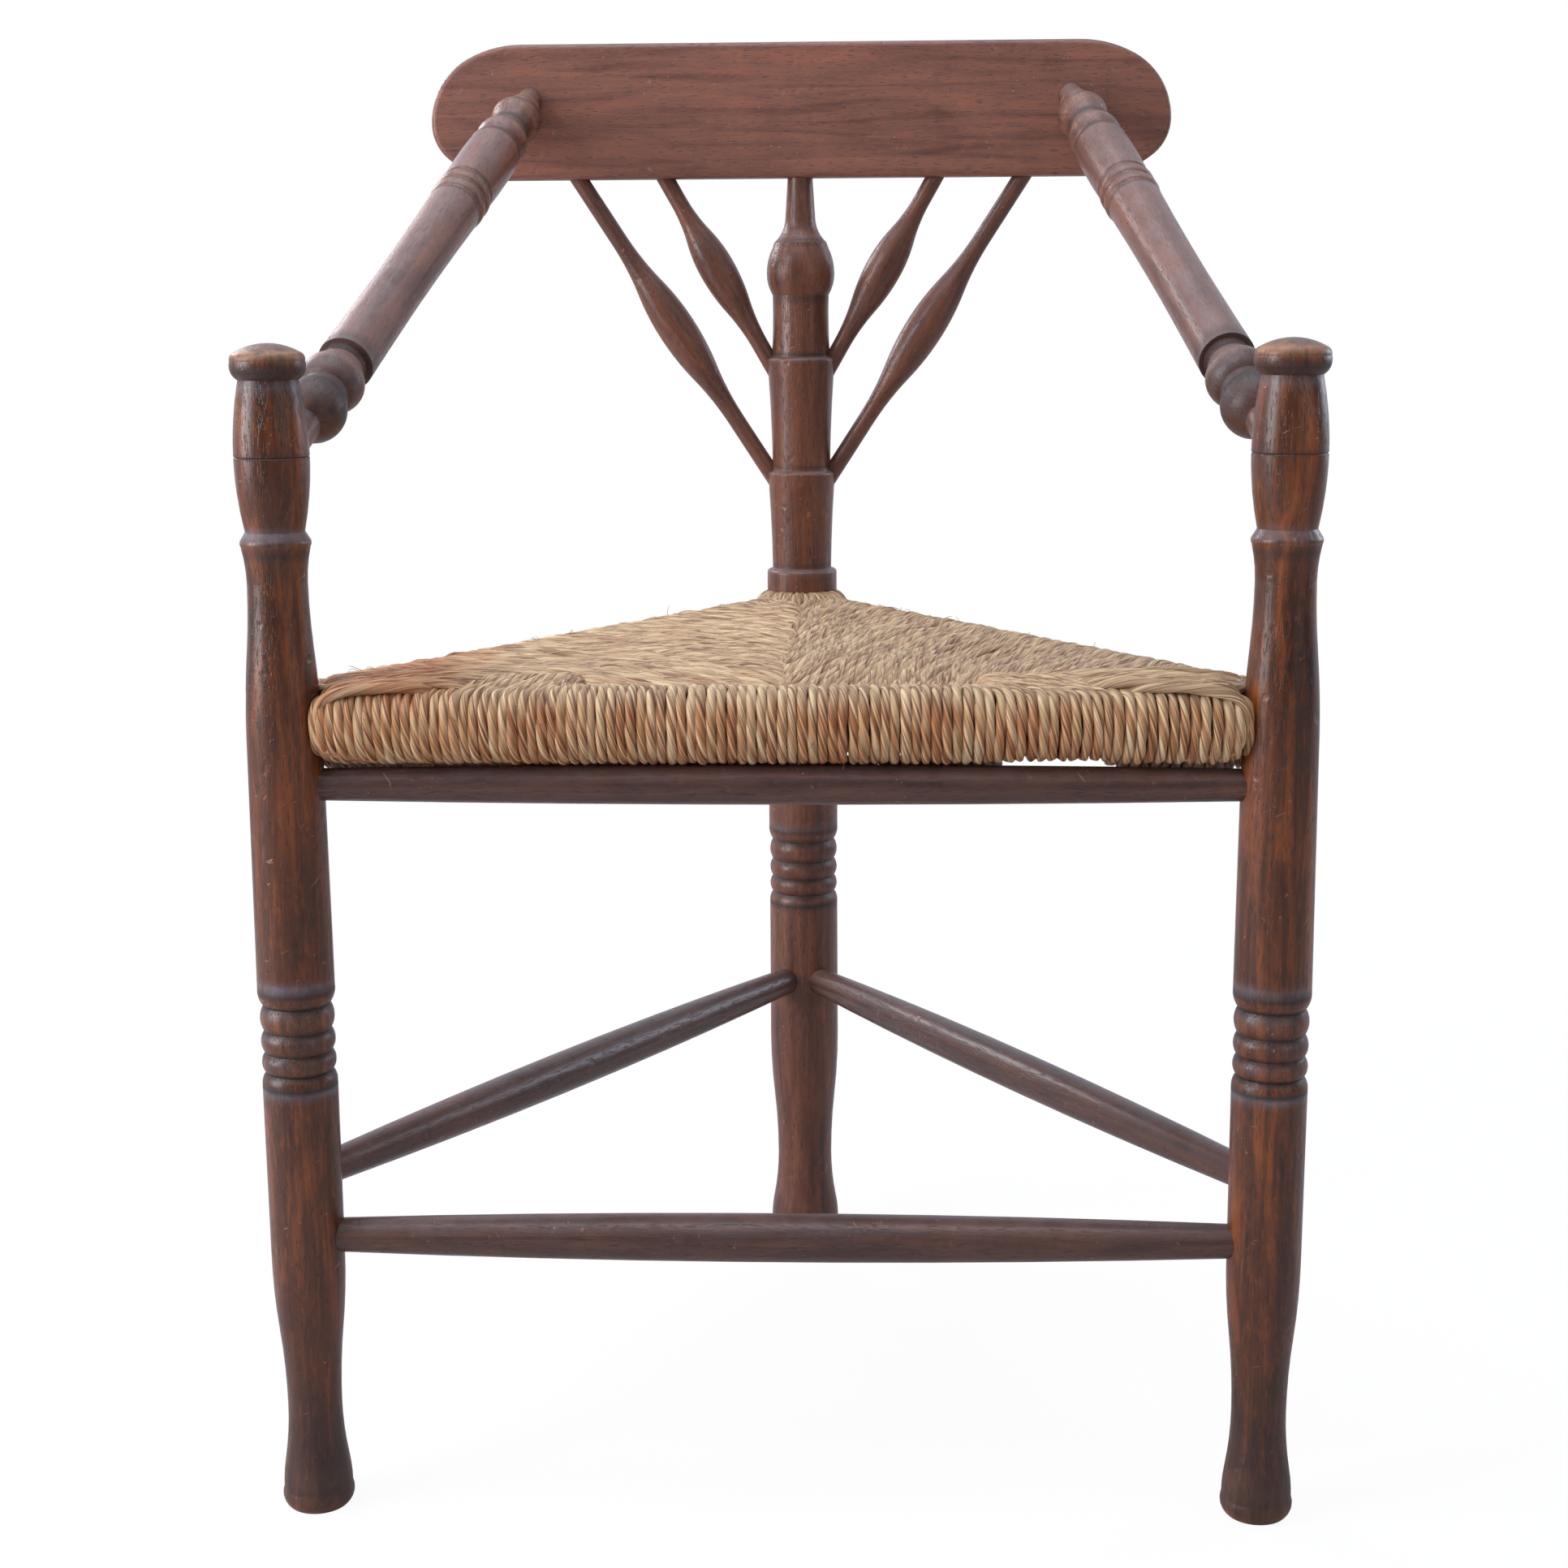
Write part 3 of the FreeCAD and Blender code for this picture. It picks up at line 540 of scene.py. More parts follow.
    def _rings(self, sheet: Sheet, high: Socket, axis: Axis, rings: tuple[Band, ...]) -> Socket:
        """Draws rings along the axis as a mask, with a ramp for every nine of them.

        Args:
            sheet: The material's sheet.
            high: The height along the axis, in metres.
            axis: The piece's axis.
            rings: The rings.

        Returns:
            The mask, 1 at the middle of each ring.
        """
        reach = axis.length * 1000
        share = sheet.sum("DIVIDE", high, axis.length)
        result: Socket | None = None
        for first in range(0, len(rings), self.rings_per_ramp):
            stops = [(0.0, grey(0))]
            some = rings[first : first + self.rings_per_ramp]
            for band in sorted(some, key=lambda ring: ring.place):
                for shift, value in ((-band.half, 0.0), (0.0, band.strength), (band.half, 0.0)):
                    stops.append(((band.place + shift) / reach, grey(value)))
            drawn = sheet.ramp(share, stops)
            result = drawn if result is None else sheet.sum("MAXIMUM", result, drawn)
        return result if result is not None else sheet.sum("MULTIPLY", high, 0.0)


@dataclass(frozen=True)
class RushFinish:
    """Dry twisted rush: pale and greyer on the seat's worn top, bleached and with a painted
    highlight, browner down its front and at the left, with painted shade in each cord's creases.

    The colours run from dark to light twice, once for the top and once for the sides. The top
    and side are the heights, in metres, between which one goes over into the other.
    """

    name: str
    pale: Colour = paint(230, 202, 160)
    straw: Colour = paint(200, 138, 88)
    # the top's colours, bleached and greyed by a painted highlight
    bleached_highlit: Colour = paint(194, 163, 128)
    dun: Colour = paint(142, 108, 80)
    brown: Colour = paint(146, 80, 42)
    green: Colour = paint(186, 164, 118)
    shade: Colour = paint(96, 60, 38)
    top: float = 0.441
    side: float = 0.430

    def make(self, kit: EffectKit) -> bpy.types.Material:
        """Mixes the finish.

        Args:
            kit: The shared shader groups.

        Returns:
            The finished material.
        """
        sheet = Coat(self.name)
        cord = sheet.attribute("cord").outputs["Fac"]
        group = sheet.add("ShaderNodeGroup", node_tree=kit.fibre)
        sheet.feed(group.inputs["Round"], sheet.attribute("round").outputs["Vector"])
        sheet.feed(group.inputs["Along"], sheet.attribute("along").outputs["Fac"])
        sheet.feed(group.inputs["Cord"], cord)
        fibre = group.outputs
        tone = sheet.sum("MULTIPLY_ADD", fibre["Streaks"], 0.85, sheet.sum("MULTIPLY", cord, 0.1))
        tone = sheet.sum("MULTIPLY_ADD", fibre["Fine"], 0.4, tone)
        warm = sheet.ramp(tone, [(0.54, self.brown), (0.67, self.straw), (0.83, self.pale)])
        bleached_and_highlit = sheet.ramp(tone, [(0.54, self.dun), (0.67, self.bleached_highlit), (0.83, self.pale)])
        spot = sheet.split(sheet.object_place())
        # Above the side height the greyer top colours take over, bleached rush and a painted
        # highlight, less so at the left.
        lifted = sheet.mask(spot[2], self.side, self.top)
        tanned = sheet.mask(spot[0], -0.145, -0.185)
        bleach_and_highlight_share = sheet.sum("MULTIPLY_ADD", tanned, -0.8, 0.85)
        colour = sheet.mix(sheet.sum("MULTIPLY", lifted, bleach_and_highlight_share), warm, bleached_and_highlit)
        heaped = sheet.sum("MULTIPLY", tanned, sheet.sum("MULTIPLY", lifted, 0.4))
        colour = sheet.mix(heaped, colour, self.brown)
        green = sheet.mask(fibre["Blotch"], 0.58, 0.72)
        colour = sheet.mix(sheet.sum("MULTIPLY", green, 0.35), colour, self.green)
        # Painted shade in the valleys between the twisted lobes and in the cracks between leaves.
        fold_shade = sheet.sum("MULTIPLY", fibre["Folds"], 0.3)
        crease_shade = sheet.sum("MULTIPLY", sheet.mask(fibre["Streaks"], 0.43, 0.33), 0.75)
        colour = sheet.mix(sheet.sum("MAXIMUM", fold_shade, crease_shade), colour, self.shade)
        rough = sheet.sum("MULTIPLY_ADD", fibre["Fine"], 0.3, 0.42)
        sheet.dress(Base_Color=colour, Roughness=rough, Specular_IOR_Level=0.4)
        height = sheet.sum("MULTIPLY_ADD", fibre["Fine"], 0.8, fibre["Streaks"])
        sheet.emboss(0.9, 0.001, height)
        return sheet.material


@dataclass(frozen=True)
class StuffingFinish:
    """The dark straw stuffing between the seat's upper and lower cords."""

    name: str = "rush_stuffing"
    dark: Colour = paint(48, 32, 24)
    light: Colour = paint(120, 86, 56)

    def make(self) -> bpy.types.Material:
        """Mixes the finish and returns it."""
        sheet = Coat(self.name)
        place = sheet.object_place()
        straws = sheet.noise(sheet.stretch(place, (90, 700, 500)), 1.0, 4.0, 0.6, 0.8)
        stops = [(0.35, self.dark), (0.7, self.light)]
        sheet.dress(Base_Color=sheet.ramp(straws, stops), Roughness=0.85)
        sheet.emboss(0.8, 0.001, straws)
        return sheet.material


@dataclass
class Strand:
    """One drawn cord of rush: its middle line and its half thickness, in millimetres."""

    line: np.ndarray
    size: np.ndarray


@dataclass(frozen=True)
class Twist:
    """How a run of cord is spun, in metres."""

    step: float = 0.003
    length: float = 0.046
    lobes: float = 3.0
    depth: float = 0.08
    corners: int = 11


class CordSpinner:
    """Spins drawn strands into twisted cords with one Geometry Nodes tree."""

    def __init__(self) -> None:
        """Plants the tree."""
        self.tree = self._plant()

    def _plant(self) -> bpy.types.NodeTree:
        """Builds the tree that resamples, twists and skins the strands."""
        inputs = {
            "Geometry": "Geometry",
            "Step": "Float",
            "Twist Length": "Float",
            "Lobes": "Float",
            "Lobe Depth": "Float",
            "Corners": "Int",
            "Finish": "Material",
        }
        sheet = Sheet.group("Twisted Rush Cord", "Geometry", inputs, {"Geometry": "Geometry"})
        start, end = sheet.ends
        curve = sheet.add("GeometryNodeMeshToCurve", {0: start["Geometry"]}).outputs[0]
        resampled = sheet.add(
            "GeometryNodeResampleCurve", {"Curve": curve, "Length": start["Step"]}, mode="LENGTH"
        ).outputs[0]
        length = sheet.add("GeometryNodeSplineParameter").outputs["Length"]
        phase = sheet.add("GeometryNodeInputNamedAttribute", {"Name": "phase"}).outputs[0]
        turns = sheet.sum("DIVIDE", length, start["Twist Length"])
        tilt = sheet.sum("MULTIPLY", sheet.sum("ADD", turns, phase), -2 * math.pi)
        tilted = sheet.add("GeometryNodeSetCurveTilt", {"Curve": resampled, "Tilt": tilt}).outputs[0]
        marked = sheet.add(
            "GeometryNodeStoreNamedAttribute", {"Geometry": tilted, "Name": "along", "Value": length}
        ).outputs[0]
        profile = self._profile(sheet, start)
        size = sheet.add("GeometryNodeInputNamedAttribute", {"Name": "size"}).outputs[0]
        skin = sheet.add(
            "GeometryNodeCurveToMesh", {0: marked, 1: profile, "Scale": size, "Fill Caps": True}
        ).outputs[0]
        soft = sheet.add("GeometryNodeSetShadeSmooth", {0: skin}).outputs[0]
        real = sheet.add("GeometryNodeRealizeInstances", {0: soft}).outputs[0]
        done = sheet.add("GeometryNodeSetMaterial", {"Geometry": real, "Material": start["Finish"]})
        sheet.feed(end["Geometry"], done.outputs[0])
        return sheet.tree

    @staticmethod
    def _profile(sheet: Sheet, start: dict) -> Socket:
        """Draws a cord's lobed cross-section, which keeps its place round the cord.

        Args:
            sheet: The tree's sheet.
            start: The tree's input sockets.

        Returns:
            The profile curve.
        """
        circle = sheet.add(
            "GeometryNodeCurvePrimitiveCircle", {"Resolution": start["Corners"], "Radius": 1.0}
        ).outputs[0]
        place = sheet.add("GeometryNodeInputPosition").outputs[0]
        kept = sheet.add("GeometryNodeStoreNamedAttribute", data_type="FLOAT_VECTOR")
        for label, value in (("Geometry", circle), ("Name", "round"), ("Value", place)):
            sheet.feed(kept.inputs[label], value)
        parts = sheet.split(place)
        angle = sheet.sum("ARCTAN2", parts[1], parts[0])
        wave = sheet.sum("COSINE", sheet.sum("MULTIPLY", angle, start["Lobes"]))
        swell = sheet.sum("MULTIPLY_ADD", wave, start["Lobe Depth"], 1.0)
        scaled = sheet.add("ShaderNodeVectorMath", {0: place}, operation="SCALE")
        sheet.feed(scaled.inputs["Scale"], swell)
        return sheet.add(
            "GeometryNodeSetPosition", {"Geometry": kept.outputs[0], "Position": scaled.outputs[0]}
        ).outputs[0]

    def spin(
        self, name: str, strands: list[Strand], twist: Twist, finish: bpy.types.Material, seed: int
    ) -> bpy.types.Object:
        """Spins a run of cords into one plain mesh piece.

        Args:
            name: The piece's name.
            strands: The drawn cords.
            twist: How they are spun.
            finish: The material they get.
            seed: The seed of their chance differences.

        Returns:
            The finished piece.
        """
        guide = self._drawn(f"{name}_lines", strands, np.random.default_rng(seed))
        modifier = guide.modifiers.new("cords", "NODES")
        modifier.node_group = self.tree
        inputs = {
            "Step": twist.step,
            "Twist Length": twist.length,
            "Lobes": twist.lobes,
            "Lobe Depth": twist.depth,
            "Corners": twist.corners,
            "Finish": finish,
        }
        for item in self.tree.interface.items_tree:
            if item.item_type == "SOCKET" and item.in_out == "INPUT" and item.name in inputs:
                modifier[item.identifier] = inputs[item.name]
        scene_state = bpy.context.evaluated_depsgraph_get()
        mesh = bpy.data.meshes.new_from_object(
            guide.evaluated_get(scene_state), preserve_all_data_layers=True, depsgraph=scene_state
        )
        bpy.data.objects.remove(guide)
        mesh.name = name
        return hang(name, mesh)

    @staticmethod
    def _drawn(name: str, strands: list[Strand], chance: np.random.Generator) -> bpy.types.Object:
        """Puts the drawn cords into the scene as plain lines.

        Args:
            name: The object's name.
            strands: The drawn cords.
            chance: The chance start of each twist and tone of each cord.

        Returns:
            The lines, with each cord's size, phase and tone.
        """
        drawn = bpy.data.meshes.new(name)
        counts = [len(strand.line) for strand in strands]
        firsts = np.cumsum([0, *counts[:-1]]).tolist()
        edges = [(a + k, a + k + 1) for a, count in zip(firsts, counts) for k in range(count - 1)]
        points = np.vstack([strand.line for strand in strands]) / 1000
        drawn.from_pydata(points.tolist(), edges, [])
        values = {
            "size": np.concatenate([strand.size for strand in strands]) / 1000,
            "phase": np.repeat(chance.random(len(strands)), counts),
            "cord": np.repeat(chance.random(len(strands)), counts),
        }
        for label, numbers in values.items():
            layer = drawn.attributes.new(label, "FLOAT", "POINT")
            layer.data.foreach_set("value", numbers.astype(np.float32))
        return hang(name, drawn)


def flowing(points: np.ndarray, step: float) -> np.ndarray:
    """Draws a smooth line through points.

    Args:
        points: The points, one a row.
        step: The distance between the line's own points.

    Returns:
        The line's points at even distances.
    """
    ends = np.vstack([2 * points[0] - points[1], points, 2 * points[-1] - points[-2]])
    share = np.linspace(0, 1, 14, endpoint=False)[:, None]
    runs = []
    for a, b, c, d in zip(ends, ends[1:], ends[2:], ends[3:]):
        cubic = (3 * b - a - 3 * c + d) * share**3
        runs.append(0.5 * (2 * b + (c - a) * share + (2 * a - 5 * b + 4 * c - d) * share**2 + cubic))
    return evenly(np.vstack([*runs, points[-1:]]), step)


def evenly(line: np.ndarray, step: float) -> np.ndarray:
    """Places points at even distances along a line."""
    lengths = np.concatenate([[0], np.cumsum(np.linalg.norm(np.diff(line, axis=0), axis=1))])
    marks = np.linspace(0, lengths[-1], max(int(round(lengths[-1] / step)), 2) + 1)
    return np.column_stack([np.interp(marks, lengths, line[:, k]) for k in range(line.shape[1])])


class Side(Enum):
    """Which side of the seat a panel lies on, by the sign of its x."""

    LEFT = -1
    RIGHT = 1


# Each guide is a strand's course over the seat in plan: where it leaves the side rail, as a
# distance from the front post along the rail, and its points from there on, in millimetres
# from the middle of the front rail. The strands between two guides follow them both.
LEFT_GUIDES = (
    (20, ((-231, 4), (-218, -8), (-196, -9), (-176, -5), (-168, 0))),
    (40, ((-220, 20), (-205, 11), (-190, 9), (-172, 12), (-160, 20))),
    (62, ((-207, 41), (-192, 33), (-176, 30), (-156, 26), (-142, 22))),
    (100, ((-184, 76), (-164, 66), (-144, 54), (-122, 38), (-102, 22))),
    (150, ((-150, 116), (-128, 102), (-104, 83), (-78, 55), (-50, 22))),
    (200, ((-125, 158), (-98, 140), (-66, 112), (-34, 76), (3, 28))),
    (260, ((-98, 211), (-78, 198), (-54, 179), (-28, 150), (3, 106))),
    (330, ((-64, 271), (-50, 262), (-35, 249), (-19, 231), (3, 200))),
    (396, ((-31, 330), (-24, 324), (-17, 316), (-9, 306), (3, 288))),
    (412, ((-28, 338), (-22, 329), (-15, 319), (-8, 309), (3, 298))),
    (432, ((-19, 356), (-15, 345), (-10, 334), (-5, 324), (3, 313))),
    (452, ((-9, 372), (-7, 362), (-5, 352), (-2, 342), (2, 331))),
)
RIGHT_GUIDES = (
    (20, ((-231, 4), (-218, -8), (-198, -9), (-178, -5), (-172, 0))),
    (40, ((-220, 20), (-206, 11), (-192, 9), (-176, 12), (-164, 20))),
    (62, ((-207, 40), (-194, 31), (-181, 27), (-168, 25), (-156, 22))),
    (100, ((-190, 76), (-180, 64), (-169, 51), (-157, 37), (-143, 22))),
    (150, ((-161, 116), (-148, 96), (-134, 72), (-120, 47), (-109, 22))),
    (200, ((-136, 159), (-121, 134), (-105, 101), (-91, 64), (-78, 22))),
    (260, ((-104, 206), (-86, 172), (-69, 131), (-55, 84), (-40, 22))),
    (300, ((-84, 236), (-65, 202), (-46, 156), (-27, 100), (2, 22))),
    (330, ((-66, 266), (-50, 235), (-33, 190), (-17, 134), (3, 66))),
    (396, ((-32, 330), (-25, 316), (-17, 296), (-8, 268), (3, 226))),
    (412, ((-27, 337), (-20, 323), (-13, 306), (-6, 284), (3, 256))),
    (432, ((-19, 356), (-14, 342), (-9, 326), (-4, 308), (2, 288))),
    (452, ((-9, 372), (-7, 360), (-5, 348), (-2, 334), (2, 320))),
)


@dataclass
class RushSeat:
    """The triangular woven seat, in millimetres from the middle of the front rail."""

    half_width: float = 250.0
    depth: float = 399.2
    top: float = 443.0
    bottom: float = 405.0
    reach: float = 18.0
    # how square the rolls are, and how far the weave dips behind the front and the side ones
    fullness: float = 2.6
    drop: float = 4.0
    side_drop: float = 1.0
    # a cord's half thickness, the spacing of the points it is drawn with, and the counts
    cord: float = 2.75
    step: float = 3.0
    under_step: float = 5.0
    front_cords: int = 93
    side_cords: int = 92
    under_cords: int = 62
    collar_cords: int = 13
    heaped_cords: int = 9
    loose_hairs: int = 70
    # how far the front cords hang at their lowest, and the underside behind them
    sag: float = 2.0
    belly: float = 10.0
    # the first and last cords: across the front, and along a side rail
    front_ends: float = 231.5
    side_start: float = 21.0
    side_end: float = 398.0
    under_start: float = 50.0
    back_end: float = 452.0
    # across the front: where cords start to lean into tips, and where the heaped ones begin
    lean: float = math.tan(math.radians(36))
    lean_span: tuple[float, float] = (92.0, 135.0)
    tip_span: tuple[float, float] = (98.0, 130.0)
    heap_start: float = 168.0
    heap_rise: float = 4.4
    # where light shows between the weave and the apron rail
    slit_opens: tuple[float, float] = (102.0, 122.0)
    slit_closes: tuple[float, float] = (158.0, 176.0)
    collar_radius: float = 19.0
    # the stuffing: its inset, its share of the height and of the plan, and its middle, in metres;
    # then how far round a seat rail, in millimetres, it is left as it is
    inset: float = 0.0075
    squash: float = 0.8
    shrink: float = 0.965
    stuffing_middle: float = -0.07
    tunnel: float = 13.5
    # from the front rail's axis to the middle of the chair
    behind: float = 201.1
    finish: RushFinish = field(default_factory=lambda: RushFinish("rush_top"))
    stuffing: StuffingFinish = field(default_factory=StuffingFinish)

    def __post_init__(self) -> None:
        """Works out how the side rails run in plan."""
        self.side_length = math.hypot(self.half_width, self.depth)
        self.along = np.array([self.half_width, self.depth]) / self.side_length
        self.outward = np.array([-self.depth, self.half_width]) / self.side_length
        self.middle = (self.top + self.bottom) / 2
        self.half_height = (self.top - self.bottom) / 2

    def roll_height(self, out: np.ndarray, rise: float, drop: float) -> np.ndarray:
        """Gives a roll's surface over a distance outward from its rail's axis.

        Args:
            out: The distances outward, below 0 towards the seat's middle.
            rise: 1 for the upper surface, -1 for the lower one.
            drop: How far the upper surface dips beside the roll.

        Returns:
            The surface's heights.
        """
        share = np.clip(out / self.reach, 0, 0.999)
        rolled = self.half_height * (1 - share**self.fullness) ** (1 / self.fullness)
        if rise > 0:
            dip = smooth(0, 28, -out) * (1 - 0.8 * smooth(30, 90, -out))
            return self.middle + rolled - drop * dip
        hung = self.belly * smooth(2, 15, -out) * (1 - 0.6 * smooth(20, 90, -out))
        return self.middle - rolled - hung

    def slit(self, x: np.ndarray) -> np.ndarray:
        """Tells where, right of the middle, the weave hangs clear of the apron rail."""
        return smooth(*self.slit_opens, x) * (1 - smooth(*self.slit_closes, x))

    def panel_height(self, plan: np.ndarray, rise: float = 1.0) -> np.ndarray:
        """Gives the woven surface's height at places in plan.

        Args:
            plan: The places, one a row, left of the middle.
            rise: 1 for the upper surface, -1 for the lower one.

        Returns:
            The heights of the surface.
        """
        x, y = plan[:, 0], plan[:, 1]
        out = (x + self.half_width) * self.outward[0] + y * self.outward[1]
        heights = [
            self.roll_height(out, rise, self.side_drop),
            self.roll_height(-y, rise, self.drop),
        ]
        height = np.minimum(*heights) if rise > 0 else np.maximum(*heights)
        waves = 0.6 * np.sin(x / 23 + y / 41) + 0.5 * np.sin(x / 37 - y / 19 + 1.3)
        inside = smooth(15, 40, np.minimum(-out, y))
        valley = 1.6 * np.exp(-((x / 9) ** 2)) * smooth(10, 40, y)
        height = height + rise * inside * (waves - valley)
        if rise > 0:
            across = smooth(-234, -212, x) * (1 - smooth(-178, -160, x))
            height = height + self.heap_rise * (across * (1 - smooth(24, 60, y)))
        return height

    @staticmethod
    def _wander(chance: np.random.Generator, count: int, reach: float) -> np.ndarray:
        """Draws a slow chance sideways drift with count points."""
        knots = chance.normal(0, reach, max(count // 8, 2) + 1)
        return np.interp(np.linspace(0, len(knots) - 1, count), np.arange(len(knots)), knots)

    def _thickness(self, chance: np.random.Generator, count: int, size: float) -> np.ndarray:
        """Draws a cord's uneven thickness, thin at its tucked ends."""
        even = size * (1 + chance.normal(0, 0.045))
        uneven = even * (1 + self._wander(chance, count, 0.05))
        share = np.minimum(np.arange(count), np.arange(count)[::-1])
        return uneven * (0.75 + 0.25 * smooth(0, 3, share))

    def _section(self, size: float, scale: float) -> np.ndarray:
        """Draws the middle line of a wrap round a roll, from under to over.

        Args:
            size: The cord's half thickness.
            scale: How large the roll is there, below 1 beside a post.

        Returns:
            The line's points: distance outward from the rail's axis, and height.
        """
        angles = np.radians(np.linspace(-90, 90, 30))
        power = 2 / self.fullness
        out = (self.reach * scale - size) * np.abs(np.cos(angles)) ** power
        rise = (self.half_height * scale - size) * np.sign(np.sin(angles))
        rise = rise * np.abs(np.sin(angles)) ** power
        under = np.array([[-26, 5.0], [-22, 1.5], [-15, 0.4], [-7, 0.0]])
        under[:, 1] += -self.half_height * scale + size
        return np.vstack([under, np.column_stack([out, rise])]) + [0, self.middle]

    def front_strands(self, chance: np.random.Generator) -> list[Strand]:
        """Draws the cords wrapped round the front rail.

        Args:
            chance: The chance differences.

        Returns:
            The drawn cords.
        """
        strands = []
        share = np.linspace(-1, 1, self.front_cords)
        places = self.front_ends * (share + 0.035 * (share * share - 1))
        for index, place in enumerate(places):
            far = abs(place)
            to_end = min(index, len(places) - 1 - index)
            scale = (0.84, 0.93, 0.975, 1.0)[min(to_end, 3)]
            section = self._section(self.cord, scale)
            line = np.vstack([section, self._front_tail(far) + [0, section[-1, 1]]])
            lean = self.lean * float(smooth(*self.lean_span, np.array(far)))
            across = np.maximum(-line[:, 0] + 9, 0) * (line[:, 1] > self.middle)
            bow = 1.3 * np.sin((line[:, 1] - self.bottom) / 38 * math.pi)
            bow = bow * smooth(60, 200, np.array(far))
            x = place - math.copysign(1, place) * (lean * across - bow)
            window = float(self.slit(np.array(place)))
            low = np.clip((self.middle - line[:, 1]) / self.half_height, 0, 1) ** 2
            hung = self.belly * smooth(2, 15, -line[:, 0]) * (line[:, 1] < self.middle)
            line[:, 1] -= (self.sag * low + hung) * (1 - window)
            drawn = flowing(np.column_stack([x, -line[:, 0], line[:, 1]]), self.step)
            drawn[:, 0] += self._wander(chance, len(drawn), 0.35)
            size = self.cord * (0.85 if to_end == 0 else 1.0)
            strands.append(Strand(drawn, self._thickness(chance, len(drawn), size)))
        return strands

    def _front_tail(self, far: float) -> np.ndarray:
        """Draws how a front cord ends on the seat's top.

        Args:
            far: How far the cord lies from the middle of the front.

        Returns:
            The end's points behind the rail's axis: a shown tip, or tucked under other cords.
        """
        if far > self.heap_start:
            return np.array([[-3, -0.6], [-7, -3.0]])
        tucked = np.array([[-7, -0.4], [-14, -2.0], [-20, -4.0], [-24, -8.0], [-26, -12.0]])
        shown = np.array([[-7, 1.2], [-15, 2.8], [-22, 3.0], [-28, 0.6], [-31, -9.0]])
        return tucked + (shown - tucked) * float(smooth(*self.tip_span, np.array(far)))

    def _course(self, guides: tuple, place: float) -> np.ndarray:
        """Finds a strand's course in plan between the guides.

        Args:
            guides: The guides.
            place: The strand's distance from the front post along its rail.

        Returns:
            The course's points, from the rail's axis inwards.
        """
        keys = [guide[0] for guide in guides]
        rows = np.array([guide[1] for guide in guides], dtype=float)
        flat = rows.reshape(len(rows), -1)
        found = [np.interp(place, keys, flat[:, k]) for k in range(flat.shape[1])]
        start = np.array([-self.half_width, 0]) + self.along * place
        return np.vstack([start, np.array(found).reshape(-1, 2)])

    def _over(self, guides: tuple, place: float, chance: np.random.Generator) -> Strand:
        """Draws a cord that comes round a side rail and crosses the seat's top."""
        start = np.array([-self.half_width, 0]) + self.along * place
        scale = float(np.interp(place, [21, 26, 32, 38], [0.86, 0.94, 0.98, 1.0]))
        section = self._section(self.cord, scale)
        wrapped = np.column_stack([start + np.outer(section[:, 0], self.outward), section[:, 1]])
        course = flowing(self._course(guides, place), self.step)[1:]
        height = self.panel_height(course) - self.cord
        lengths = np.arange(len(course)) * self.step
        dive = smooth(lengths[-1] - 7, lengths[-1] + 1, lengths) * 7
        eased = (section[-1, 1] - height[0]) * (1 - smooth(0, 12, lengths))
        crossing = np.column_stack([course, height + eased - dive])
        drawn = evenly(np.vstack([wrapped, crossing]), self.step)
        drift = self._wander(chance, len(drawn), 0.6)
        drawn[:, :2] += np.outer(drift, self.along)
        inner = smooth(len(wrapped) - 2, len(wrapped) + 8, np.arange(len(drawn)))
        lift = self._wander(chance, len(drawn), 0.6) + chance.normal(0, 0.4)
        drawn[:, 2] += lift * (0.25 + 0.75 * inner)
        size = self.cord * chance.uniform(0.86, 1.1)
        return Strand(drawn, self._thickness(chance, len(drawn), size))

    def _under(self, guides: tuple, place: float, side: Side, chance: np.random.Generator) -> Strand:
        """Draws a cord that crosses the seat's underside to its middle."""
        course = flowing(self._course(guides, place), self.under_step)
        course = course[course[:, 1] > 18]
        height = self.panel_height(course, -1.0) + self.cord
        if side is Side.RIGHT:
            shown = self.slit(-course[:, 0]) * (1 - smooth(40, 80, course[:, 1]))
            height = height + self.belly * shown
        lengths = np.arange(len(course)) * self.under_step
        height = height + smooth(lengths[-1] - 12, lengths[-1] + 1, lengths) * 7
        drawn = np.column_stack([course, height])
        drawn[:, 1] += self._wander(chance, len(drawn), 0.4)
        return Strand(drawn, self._thickness(chance, len(drawn), self.cord * 0.95))

    @staticmethod
    def _turned(strand: Strand, side: Side) -> Strand:
        """Puts a strand drawn on the left on the side it is for."""
        return Strand(strand.line * [-side.value, 1, 1], strand.size)

    def panel_strands(self, side: Side, chance: np.random.Generator) -> list[Strand]:
        """Draws the cords over one half of the seat, the heaped and the collar cords too.

        Args:
            side: The half.
            chance: The chance differences.

        Returns:
            The drawn cords.
        """
        guides = LEFT_GUIDES if side is Side.LEFT else RIGHT_GUIDES
        places = np.linspace(self.side_start, self.back_end, self.side_cords)
        strands = []
        for place in places:
            strands.append(self._turned(self._over(guides, place, chance), side))
        gathered = [self._corner_strand(chance), *self._bundle_strands(chance)]
        strands += [self._turned(strand, side) for strand in gathered]
        return strands + self.collar_strands(side, chance)

    def _corner_strand(self, chance: np.random.Generator) -> Strand:
        """Draws the cord that climbs beside a front post and edges the gathered cords."""
        points = np.array(
            [
                (-196, -7, 408.3), (-214, -9, 409.0), (-226, -11, 412.5), (-230, -12.5, 420),
                (-230.5, -12.5, 430), (-226, -12.5, 438), (-214, -12.5, 442.2),
                (-198, -11, 443.4), (-180, -8, 442.6), (-170, -4, 438.5),
            ]
        )
        drawn = flowing(points, self.step)
        return Strand(drawn, self._thickness(chance, len(drawn), self.cord * 1.05))

